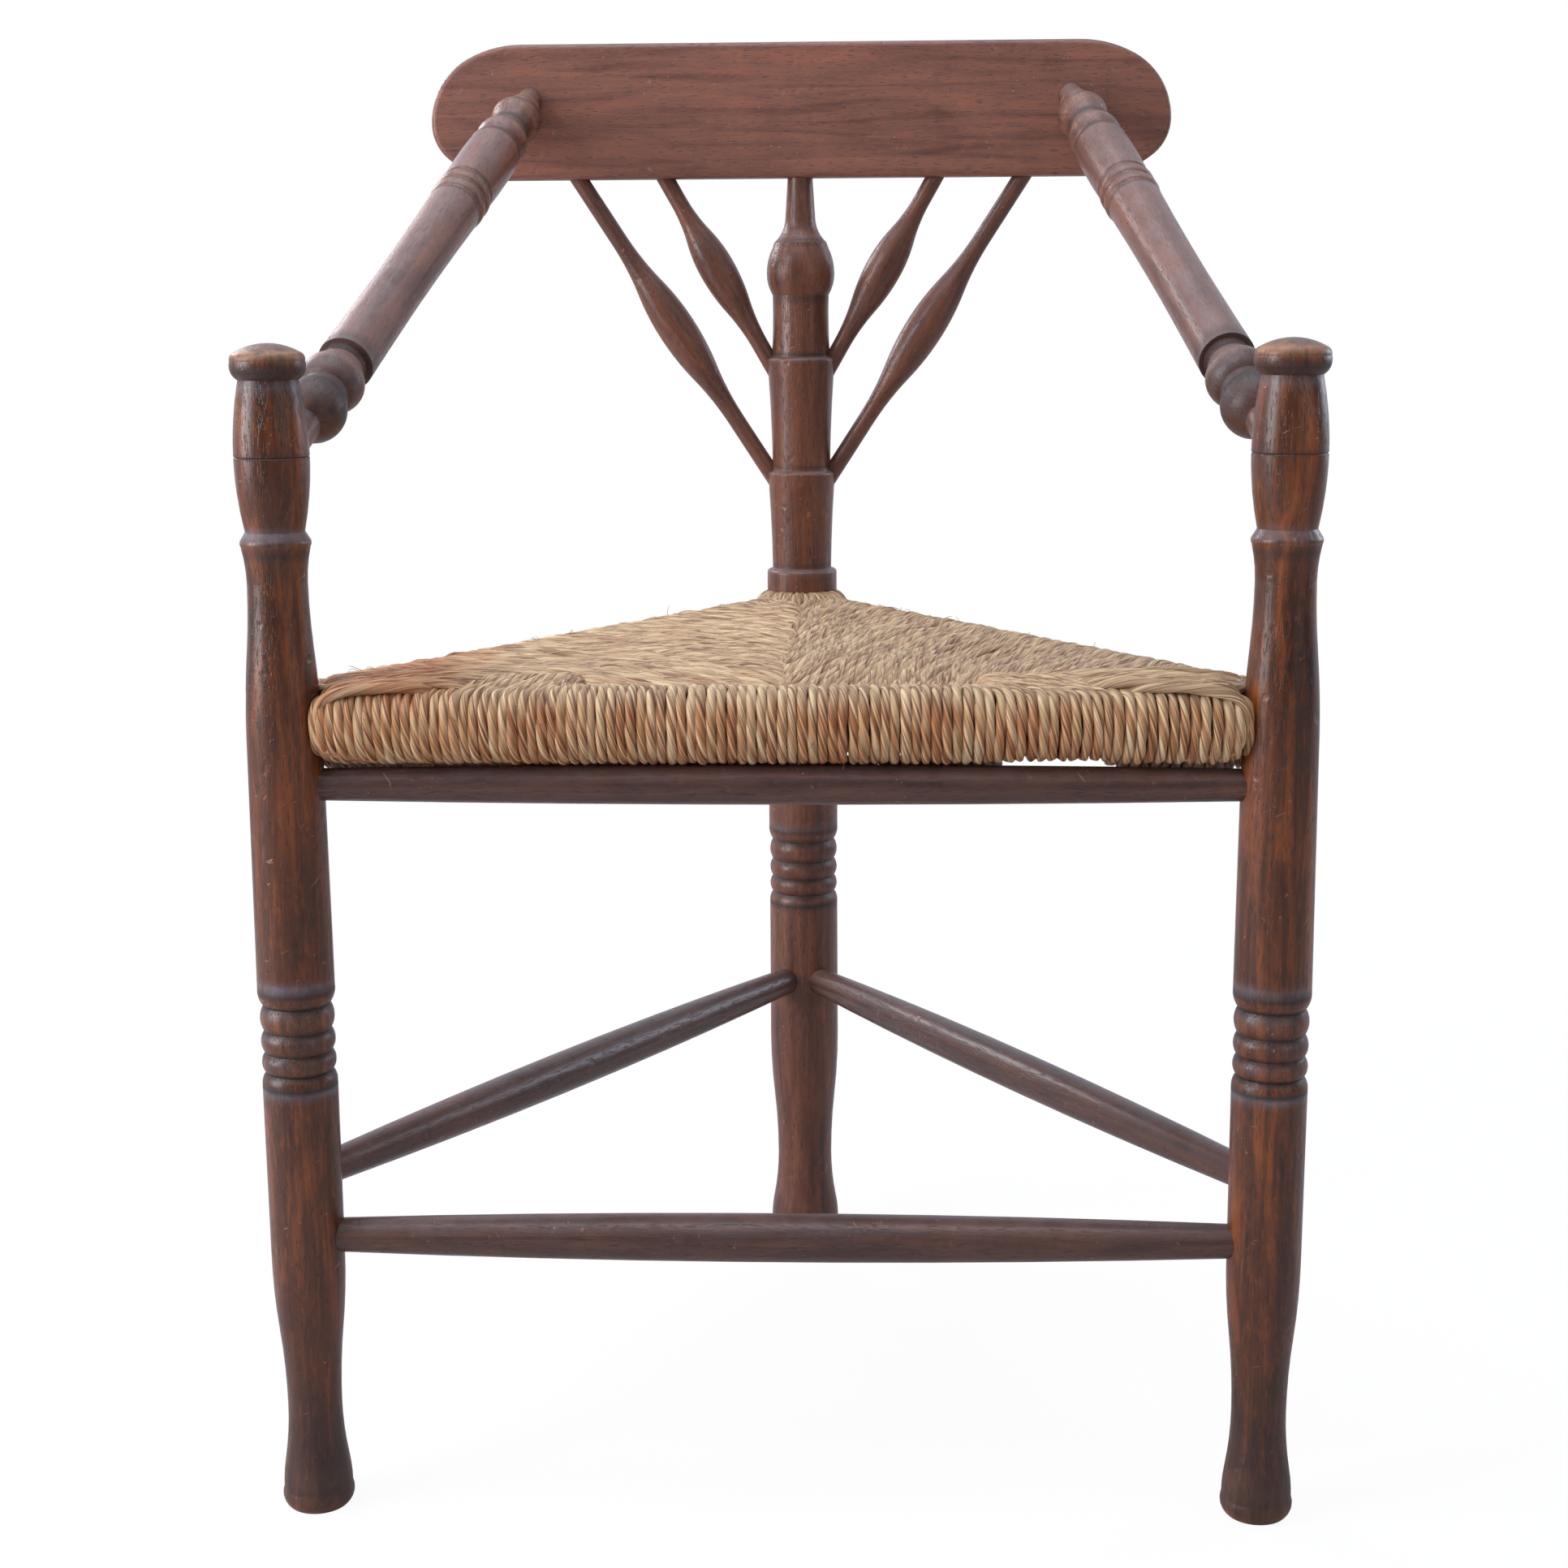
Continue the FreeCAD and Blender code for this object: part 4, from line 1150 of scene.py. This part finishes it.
    def _bundle_strands(self, chance: np.random.Generator) -> list[Strand]:
        """Draws the cords heaped beside a front post, over the ends of the front cords."""
        strands = []
        for index in range(self.heaped_cords):
            back = -8.5 + 4.6 * index
            far = 5.0 * index + chance.uniform(-6, 6)
            points = np.array(
                [
                    (-229 - index, back - 1, 432),
                    (-223 - index, back, 441.6),
                    (-206, back + 0.5, 444.4),
                    (-186, back + 1.5, 445.2),
                    (-168 + far * 0.5, back + 4, 444.2),
                    (-154 + far, back + 8, 438.0),
                ]
            )
            drawn = flowing(points, 2.5)
            drawn[:, 1] += self._wander(chance, len(drawn), 0.9)
            drawn[:, 2] += self._wander(chance, len(drawn), 0.5)
            size = self._thickness(chance, len(drawn), self.cord * chance.uniform(0.7, 0.9))
            strands.append(Strand(drawn, size))
        return strands

    def collar_strands(self, side: Side, chance: np.random.Generator) -> list[Strand]:
        """Draws the short cords that stand against the back post on one side.

        Args:
            side: The side.
            chance: The chance differences.

        Returns:
            The drawn cords.
        """
        strands = []
        for angle in np.radians(np.linspace(0, 100, self.collar_cords)):
            x = -math.sin(angle) * self.collar_radius
            y = self.depth - math.cos(angle) * self.collar_radius
            reach = chance.uniform(17, 21)
            lean = -0.42 * math.sin(angle)
            course = np.array(
                [
                    (x, y, self.top - 4.0),
                    (x + lean * 3, y - 4, self.top - 0.4),
                    (x + lean * reach * 0.6, y - reach * 0.6, self.top - 0.6),
                    (x + lean * reach, y - reach, self.top - 3.5),
                    (x + lean * reach * 1.15, y - reach * 1.15, self.top - 8.5),
                ]
            )
            drawn = flowing(course, 2.0)
            drawn[:, 0] += self._wander(chance, len(drawn), 0.3)
            size = self._thickness(chance, len(drawn), self.cord * 0.9)
            strands.append(self._turned(Strand(drawn, size), side))
        return strands

    def under_strands(self, chance: np.random.Generator) -> list[Strand]:
        """Draws the cords on the seat's underside.

        Args:
            chance: The chance differences.

        Returns:
            The drawn cords.
        """
        strands = []
        for side, guides in ((Side.LEFT, RIGHT_GUIDES), (Side.RIGHT, LEFT_GUIDES)):
            for place in np.linspace(self.under_start, self.side_end, self.under_cords):
                strands.append(self._turned(self._under(guides, place, side, chance), side))
        return strands

    def fibre_strands(self, chance: np.random.Generator) -> list[Strand]:
        """Draws the loose hairs of leaf that stand off the weave.

        Args:
            chance: The chance differences.

        Returns:
            The drawn hairs.
        """
        hairs = []
        for _ in range(self.loose_hairs):
            if chance.random() < 0.45:
                start = [chance.uniform(-225, 225), -17.0, chance.uniform(408, 440)]
                way = [chance.normal(0, 1), chance.uniform(-0.5, -0.1), chance.normal(0, 1)]
            else:
                along = chance.uniform(30, 430)
                side = chance.choice([-1, 1])
                spot = np.array([-self.half_width, 0]) + self.along * along
                start = [side * spot[0], spot[1] + 4, self.top - 0.5]
                way = [chance.normal(0, 1), chance.normal(0, 0.6), chance.uniform(0.0, 0.3)]
            start = np.array(start)
            way = np.array(way) / np.linalg.norm(way) * chance.uniform(3, 9)
            bend = chance.normal(0, 1.2, 3)
            points = np.array([start, start + way * 0.5 + bend, start + way])
            drawn = flowing(points, 1.0)
            hairs.append(Strand(drawn, np.linspace(0.2, 0.09, len(drawn))))
        return hairs

    def _placed(self, strands: list[Strand]) -> list[Strand]:
        """Moves strands from the front rail's plan into the chair's frame."""
        return [Strand(strand.line - [0, self.behind, 0], strand.size) for strand in strands]

    def build(self, kit: EffectKit, spinner: CordSpinner, nodes: dict) -> list[bpy.types.Object]:
        """Weaves the seat.

        Args:
            kit: The shared shader groups.
            spinner: The cord maker.
            nodes: The frame's nodes by name.

        Returns:
            The seat's pieces.
        """
        rush = self.finish.make(kit)
        fine = Twist(step=0.0025, corners=13, depth=0.11)
        plain = Twist(length=0.07, depth=0.1)
        coarse = Twist(step=0.005, corners=8)
        hair = Twist(step=0.001, corners=4, depth=0.0)
        runs = (
            ("rush_front_cords", self.front_strands(np.random.default_rng(11)), fine),
            ("rush_left_cords", self.panel_strands(Side.LEFT, np.random.default_rng(12)), plain),
            ("rush_right_cords", self.panel_strands(Side.RIGHT, np.random.default_rng(13)), plain),
            ("rush_under_cords", self.under_strands(np.random.default_rng(14)), coarse),
            ("rush_loose_hairs", self.fibre_strands(np.random.default_rng(15)), hair),
        )
        pieces = []
        for seed, (name, strands, twist) in enumerate(runs):
            pieces.append(spinner.spin(name, self._placed(strands), twist, rush, 40 + seed))
        pieces.append(self._stuffing(nodes["rush_seat"]))
        return pieces

    def _in_tunnel(self, spot: Vector) -> bool:
        """Tells whether a point of the CAD seat lies on the tunnel round a seat rail."""
        x, y = abs(spot.x) * 1000 - self.half_width, spot.y * 1000 + self.behind
        beside = min(abs(y), abs(-x * self.outward[0] + y * self.outward[1]))
        return math.hypot(beside, spot.z * 1000 - self.middle) < self.tunnel

    def _stuffing(self, node: bpy.types.Object) -> bpy.types.Object:
        """Makes the stuffing between the cords, from the CAD seat's form drawn in a little."""
        mesh = node.data.copy()
        mesh.name = "rush_stuffing"
        form = bmesh.new()
        form.from_mesh(mesh)
        bmesh.ops.remove_doubles(form, verts=form.verts, dist=1e-5)
        form.normal_update()
        middle = self.middle / 1000
        outer = [point for point in form.verts if not self._in_tunnel(point.co)]
        for point in outer:
            point.co += point.normal * -self.inset
            point.co.z = middle + (point.co.z - middle) * self.squash
        for point in form.verts:
            point.co.x *= self.shrink
            point.co.y = self.stuffing_middle + (point.co.y - self.stuffing_middle) * self.shrink
        form.to_mesh(mesh)
        form.free()
        mesh.materials.clear()
        mesh.materials.append(self.stuffing.make())
        return hang("rush_stuffing", mesh)


@dataclass
class TurnedFrame:
    """The chair's wooden pieces, dressed where the frame put them. Sizes in metres."""

    front_y: float = -0.2011
    back_y: float = 0.1981
    half_width: float = 0.25
    post_height: float = 0.6129
    arm_foot: float = 0.5519
    arm_top: tuple[float, float, float] = (0.1715, 0.1881, 0.7546)
    crest_bottom: float = 0.7077
    crest_middle: float = 0.75
    crest_half: float = 0.24
    # each spindle's reach at its top, and how far it leans out for each metre up
    outer_spindle: tuple[float, float] = (0.141, 0.649)
    inner_spindle: tuple[float, float] = (0.0857, 0.57)
    spindle_foot: float = 0.0125
    front_seat_rail: float = 0.4226
    side_seat_rail: float = 0.4254
    apron_rail: float = 0.3925
    front_stretcher: float = 0.1512
    side_stretcher: float = 0.1828
    # the grooves round the beads that each post has below the seat, dark with wax and painted shade
    bead_grooves: tuple[Band, ...] = bands(
        (234.5, 3), (241.7, 3), (252.4, 3), (264.0, 3), (277.5, 3), (286.0, 3)
    )
    front_wood: StainedWood = field(
        default_factory=lambda: StainedWood(
            "front_post_wood",
            dark=paint(44, 25, 16),
            mid=paint(86, 46, 26),
            light=paint(148, 78, 34),
            # a blue-grey painted highlight on the beads, mixed with the dust
            dust_and_highlight=paint(118, 116, 124),
            fleck=0.3,
            bloom_and_sheen_share=0.18,
            roughness=0.32,
        )
    )
    back_wood: StainedWood = field(
        default_factory=lambda: StainedWood("back_post_wood", mid=paint(102, 59, 42))
    )
    arm_wood: StainedWood = field(
        default_factory=lambda: StainedWood(
            "arm_wood", mid=paint(108, 70, 58), light=paint(140, 88, 66),
            # a strong painted sky sheen on the arms' tops, and painted bounce light on their
            # undersides
            bloom_and_sheen=paint(142, 120, 116), bloom_and_sheen_share=0.55, under=0.5,
        )
    )
    spindle_wood: StainedWood = field(
        default_factory=lambda: StainedWood("spindle_wood", fleck=0.2, bloom_and_sheen_share=0.35)
    )
    rail_wood: StainedWood = field(
        default_factory=lambda: StainedWood(
            "rail_wood", dark=paint(56, 37, 32), mid=paint(84, 56, 47), light=paint(108, 70, 54),
            fleck=0.15, bloom_and_sheen_share=0.35, roughness=0.3,
        )
    )
    crest_wood: StainedWood = field(
        default_factory=lambda: StainedWood(
            "crest_wood", dark=paint(96, 60, 49), mid=paint(127, 83, 69), light=paint(152, 96, 74),
            fleck=0.3, roughness=0.42,
        )
    )

    @staticmethod
    def _post(x: float, y: float, height: float) -> Axis:
        """Gives an upright post's axis."""
        return Axis((x, y, 0.0), (x, y, height))

    def _side_run(self, side: float, height: float) -> Axis:
        """Gives the axis of a rail from a front post to the back one."""
        return Axis((side * self.half_width, self.front_y, height), (0.0, self.back_y, height))

    def _front_run(self, height: float) -> Axis:
        """Gives the axis of a rail between the front posts."""
        return Axis((-self.half_width, self.front_y, height), (self.half_width, self.front_y, height))

    def _spindle(self, top: float, slope: float, side: float) -> Axis:
        """Gives a spindle's axis, from the back post up to the crest."""
        foot = self.crest_bottom - (top - self.spindle_foot) / slope
        return Axis(
            (side * self.spindle_foot, self.back_y, foot),
            (side * top, self.back_y, self.crest_bottom),
        )

    def dress(self, kit: EffectKit, nodes: dict) -> None:
        """Gives every wooden node its finish.

        Args:
            kit: The shared shader groups.
            nodes: The frame's nodes by name.
        """
        self._dress_front_posts(kit, nodes)
        self._dress_back_post(kit, nodes)
        self._dress_arms(kit, nodes)
        outer, inner = self.outer_spindle, self.inner_spindle
        spindles = {
            "outer_left_spindle": self._spindle(*outer, -1),
            "inner_left_spindle": self._spindle(*inner, -1),
            "inner_right_spindle": self._spindle(*inner, 1),
            "outer_right_spindle": self._spindle(*outer, 1),
        }
        rails = {
            "front_seat_rail": self._front_run(self.front_seat_rail),
            "left_seat_rail": self._side_run(-1, self.side_seat_rail),
            "right_seat_rail": self._side_run(1, self.side_seat_rail),
            "front_apron_rail": self._front_run(self.apron_rail),
            "front_stretcher": self._front_run(self.front_stretcher),
            "left_stretcher": self._side_run(-1, self.side_stretcher),
            "right_stretcher": self._side_run(1, self.side_stretcher),
        }
        for index, (name, axis) in enumerate(spindles.items()):
            self._give(kit, nodes, name, self.spindle_wood, axis, 6.0 + index)
        for index, (name, axis) in enumerate(rails.items()):
            self._give(kit, nodes, name, self.rail_wood, axis, 10.0 + index)
        crest = Axis(
            (-self.crest_half, self.back_y, self.crest_middle),
            (self.crest_half, self.back_y, self.crest_middle),
        )
        self._give(kit, nodes, "crest_rail", self.crest_wood, crest, 17.0)

    def _dress_front_posts(self, kit: EffectKit, nodes: dict) -> None:
        """Dresses both front posts: rubbed caps with a painted highlight, grey dust on the ledges
        with a painted highlight on the beads, dark feet, and grooves dark with wax and painted shade.
        """
        grime_and_shade_rings = self.bead_grooves + bands(
            (509, 2.5, 0.8), (557.5, 1.0, 0.8), (598, 6, 0.95), (12, 78, 0.7)
        )
        rubbed_and_highlight_rings = bands((271, 4, 0.2), (514, 1.2, 0.6), (607.5, 4.5), (613.5, 5, 0.8), (16, 14, 0.3))
        # grey dust on the ledges, and a painted highlight on each bead
        dust_and_highlight_rings = bands(
            (519, 4.5, 0.9), (592, 4, 0.5), (289, 4, 0.8), (232, 3, 0.8),
            (248.5, 3, 0.45), (260.5, 3, 0.45), (274, 3, 0.45),
        )
        for index, (name, side) in enumerate((("front_left_post", -1), ("front_right_post", 1))):
            axis = self._post(side * self.half_width, self.front_y, self.post_height)
            self._give(kit, nodes, name, self.front_wood, axis, 1.0 + index, grime_and_shade_rings, rubbed_and_highlight_rings, dust_and_highlight_rings)

    def _dress_back_post(self, kit: EffectKit, nodes: dict) -> None:
        """Dresses the back post: dark wax and painted shade below each step, grey dust with a painted
        highlight on it.
        """
        grime_and_shade_rings = self.bead_grooves + bands(
            (461, 2, 0.6), (524.5, 1.8, 0.8), (597, 1.8, 0.8), (632, 3, 0.8), (668, 2.5, 0.7),
            (0, 7, 0.7),
        )
        rubbed_and_highlight_rings = bands((670.5, 1.5, 0.3), (4, 10, 0.3))
        dust_and_highlight_rings = bands((457.5, 2, 0.8), (522, 1.6, 0.8), (594.8, 1.6, 0.8), (288, 3, 0.5))
        axis = self._post(0.0, self.back_y, self.crest_bottom)
        self._give(kit, nodes, "back_post", self.back_wood, axis, 3.0, grime_and_shade_rings, rubbed_and_highlight_rings, dust_and_highlight_rings)

    def _dress_arms(self, kit: EffectKit, nodes: dict) -> None:
        """Dresses both arms: grime and painted shade at the lower ball and in the coves, rubbed stain
        and a painted highlight on the ridges.
        """
        grime_and_shade_rings = bands(
            (64, 36, 0.95), (101, 18, 0.95), (292, 2), (303, 2), (314, 2), (374, 4, 0.8),
            (402.5, 7, 0.7), (427, 4, 0.8),
        )
        rubbed_and_highlight_rings = bands(
            (87, 3, 0.5), (92.4, 1.6, 0.6), (108.5, 1.6, 0.4), (297, 2, 0.3), (308, 2, 0.3),
            (370, 2, 0.4), (388, 4, 0.4), (414, 3, 0.5), (436, 4, 0.5),
        )
        dust_and_highlight_rings = bands(
            (80, 4, 0.4), (87, 2, 0.5), (92.4, 1.6, 0.8), (108.5, 1.6, 0.8), (399, 4, 0.5)
        )
        x, y, z = self.arm_top
        for index, (name, side) in enumerate((("left_arm", -1), ("right_arm", 1))):
            axis = Axis((side * self.half_width, self.front_y, self.arm_foot), (side * x, y, z))
            self._give(kit, nodes, name, self.arm_wood, axis, 4.0 + index, grime_and_shade_rings, rubbed_and_highlight_rings, dust_and_highlight_rings)

    @staticmethod
    def _give(
        kit: EffectKit,
        nodes: dict,
        name: str,
        wood: StainedWood,
        axis: Axis,
        seed: float,
        grime_and_shade_rings: tuple[Band, ...] = (),
        rubbed_and_highlight_rings: tuple[Band, ...] = (),
        dust_and_highlight_rings: tuple[Band, ...] = (),
    ) -> None:
        """Gives one node its own mix of a wood."""
        material = wood.make(kit, name, axis, seed, grime_and_shade_rings, rubbed_and_highlight_rings, dust_and_highlight_rings)
        for slot in nodes[name].material_slots:
            slot.material = material
        log.info("%s dressed in %s", name, wood.name)


@dataclass
class Camera:
    """The photograph's view, fitted to the frame."""

    focal: float = 3039.113
    width: float = 1932.0
    place: tuple[float, float, float] = (0.04882, -1.41856, 0.63280)
    yaw: float = -0.0381
    pitch: float = 0.1945
    roll: float = -0.0066

    def build(self) -> bpy.types.Object:
        """Makes the camera and returns it."""
        level = Vector((math.sin(self.yaw), math.cos(self.yaw), 0))
        across = Vector((math.cos(self.yaw), -math.sin(self.yaw), 0))
        rise = Vector((0, 0, 1))
        forward = math.cos(self.pitch) * level - math.sin(self.pitch) * rise
        up = math.sin(self.pitch) * level + math.cos(self.pitch) * rise
        right = math.cos(self.roll) * across + math.sin(self.roll) * up
        up = -math.sin(self.roll) * across + math.cos(self.roll) * up
        turn = Matrix((right, up, -forward)).transposed().to_4x4()
        data = bpy.data.cameras.new("camera")
        data.sensor_width = 36.0
        data.lens = self.focal / self.width * data.sensor_width
        data.clip_start, data.clip_end = 0.05, 30
        camera = hang("camera", data)
        camera.matrix_world = Matrix.Translation(self.place) @ turn
        bpy.context.scene.camera = camera
        return camera


@dataclass(frozen=True)
class Lamp:
    """One square soft lamp: where it hangs, its side and its power."""

    name: str
    place: tuple[float, float, float]
    size: float
    power: float
    colour: Colour = paint(250, 251, 255)


@dataclass
class Studio:
    """A pale floor, a white surround and soft lamps, brightest from the left and overhead."""

    floor_radius: float = 4.0
    # how much of the floor glows white, how bright, and how much of it the wood reflects
    glow_share: float = 0.86
    glow: float = 1.08
    floor_gloss: float = 0.15
    # the surround as light, and what of it the chair's front reflects
    world_light: float = 0.34
    front_gloss: float = 0.06
    target: tuple[float, float, float] = (0.0, 0.0, 0.5)
    lamps: tuple[Lamp, ...] = (
        Lamp("left_softbox", (-1.9, -0.8, 0.9), 1.1, 36.0),
        Lamp("left_window", (-1.25, -1.0, 1.45), 0.28, 6.5, paint(222, 236, 255)),
        Lamp("overhead_softbox", (-0.2, -0.2, 2.5), 1.8, 32.0, paint(240, 246, 255)),
        Lamp("back_left_window", (-1.05, 0.85, 1.25), 0.45, 8.0),
        Lamp("back_right_softbox", (1.9, 0.9, 1.1), 0.9, 12.0, paint(226, 238, 255)),
        Lamp("front_right_fill", (1.6, -1.6, 1.1), 1.4, 6.0, paint(255, 250, 244)),
    )

    def build(self) -> None:
        """Makes the floor, the surround and the lamps."""
        self._floor()
        self._surround()
        for lamp in self.lamps:
            self._hang(lamp)
        bpy.context.scene.view_settings.view_transform = "Standard"

    def _floor(self) -> None:
        """Makes the floor disc, which keeps a faint shadow and fades into the surround."""
        form = bmesh.new()
        bmesh.ops.create_circle(form, cap_ends=True, segments=96, radius=self.floor_radius)
        mesh = bpy.data.meshes.new("floor")
        form.to_mesh(mesh)
        form.free()
        floor = hang("floor", mesh)
        sheet = Coat("pale_floor")
        sheet.dress(Base_Color=paint(186, 186, 190), Roughness=0.9, Specular_IOR_Level=0.1)
        path = sheet.add("ShaderNodeLightPath").outputs
        glow = sheet.add("ShaderNodeEmission", {"Color": grey(1.0), "Strength": self.glow})
        seen = sheet.sum("MAXIMUM", path["Is Camera Ray"], path["Is Transmission Ray"])
        glossy = sheet.sum("MULTIPLY", path["Is Glossy Ray"], self.floor_gloss)
        seen = sheet.sum("MAXIMUM", seen, glossy)
        share = sheet.sum("MULTIPLY", seen, self.glow_share)
        lit = sheet.shader.outputs[0]
        near = sheet.add("ShaderNodeMixShader", {0: share, 1: lit, 2: glow.outputs[0]})
        place = sheet.object_place()
        far = sheet.add("ShaderNodeVectorMath", {0: place}, operation="LENGTH").outputs["Value"]
        outer = sheet.sum("MULTIPLY", sheet.mask(far, 0.6, 1.6), seen)
        white = sheet.add("ShaderNodeEmission", {"Color": grey(1.0), "Strength": 1.0})
        whole = sheet.add("ShaderNodeMixShader", {0: outer, 1: near.outputs[0], 2: white.outputs[0]})
        sheet.feed(sheet.tree.nodes["Material Output"].inputs["Surface"], whole.outputs[0])
        mesh.materials.append(sheet.material)
        floor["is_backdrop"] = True

    def _surround(self) -> None:
        """Makes the world: white to look at, a pale backdrop to reflect, softer as light."""
        world = bpy.data.worlds.new("surround")
        world.use_nodes = True
        bpy.context.scene.world = world
        sheet = Sheet(world.node_tree)
        path = sheet.add("ShaderNodeLightPath").outputs
        seen = sheet.sum("MAXIMUM", path["Is Camera Ray"], path["Is Transmission Ray"])
        way = sheet.add("ShaderNodeTexCoord").outputs["Generated"]
        _, depth, height = sheet.split(way)
        overhead = sheet.sum("MULTIPLY", sheet.mask(height, 0.3, 0.9), 0.7)
        bright = sheet.sum("MAXIMUM", sheet.mask(depth, 0.0, 0.6), overhead)
        backdrop = sheet.sum("MULTIPLY_ADD", bright, 1.0 - self.front_gloss, self.front_gloss)
        shares = {0: path["Is Glossy Ray"], 2: self.world_light, 3: backdrop}
        light = sheet.add("ShaderNodeMix", shares)
        strength = sheet.add("ShaderNodeMix", {0: seen, 2: light.outputs[0], 3: 1.0})
        colour = sheet.mix(seen, paint(232, 240, 255), grey(1.0))
        back = world.node_tree.nodes["Background"]
        sheet.feed(back.inputs["Color"], colour)
        sheet.feed(back.inputs["Strength"], strength.outputs[0])

    def _hang(self, lamp: Lamp) -> None:
        """Hangs one lamp and turns it to the chair."""
        data = bpy.data.lights.new(lamp.name, "AREA")
        data.shape = "SQUARE"
        data.size = lamp.size
        data.energy = lamp.power
        data.color = lamp.colour[:3]
        hung = hang(lamp.name, data)
        way = Vector(self.target) - Vector(lamp.place)
        turn = way.to_track_quat("-Z", "Y").to_matrix().to_4x4()
        hung.matrix_world = Matrix.Translation(lamp.place) @ turn


def corners() -> list[list[float]]:
    """Gives the shown object's lowest and highest corner as plain lists."""
    return [list(corner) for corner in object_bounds()]


def main() -> None:
    """Builds the chair's dress, its studio and its camera, in that order."""
    logging.basicConfig(level=logging.INFO, format="%(name)s: %(message)s")
    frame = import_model()
    kit = EffectKit()
    TurnedFrame().dress(kit, frame["nodes"])
    seat = RushSeat().build(kit, CordSpinner(), frame["nodes"])
    for piece in seat:
        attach(piece, "root")
        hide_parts("rush_seat")
        log.info("%s woven with %d faces", piece.name, len(piece.data.polygons))
    Studio().build()
    Camera().build()


if __name__ == "__main__":
    main()
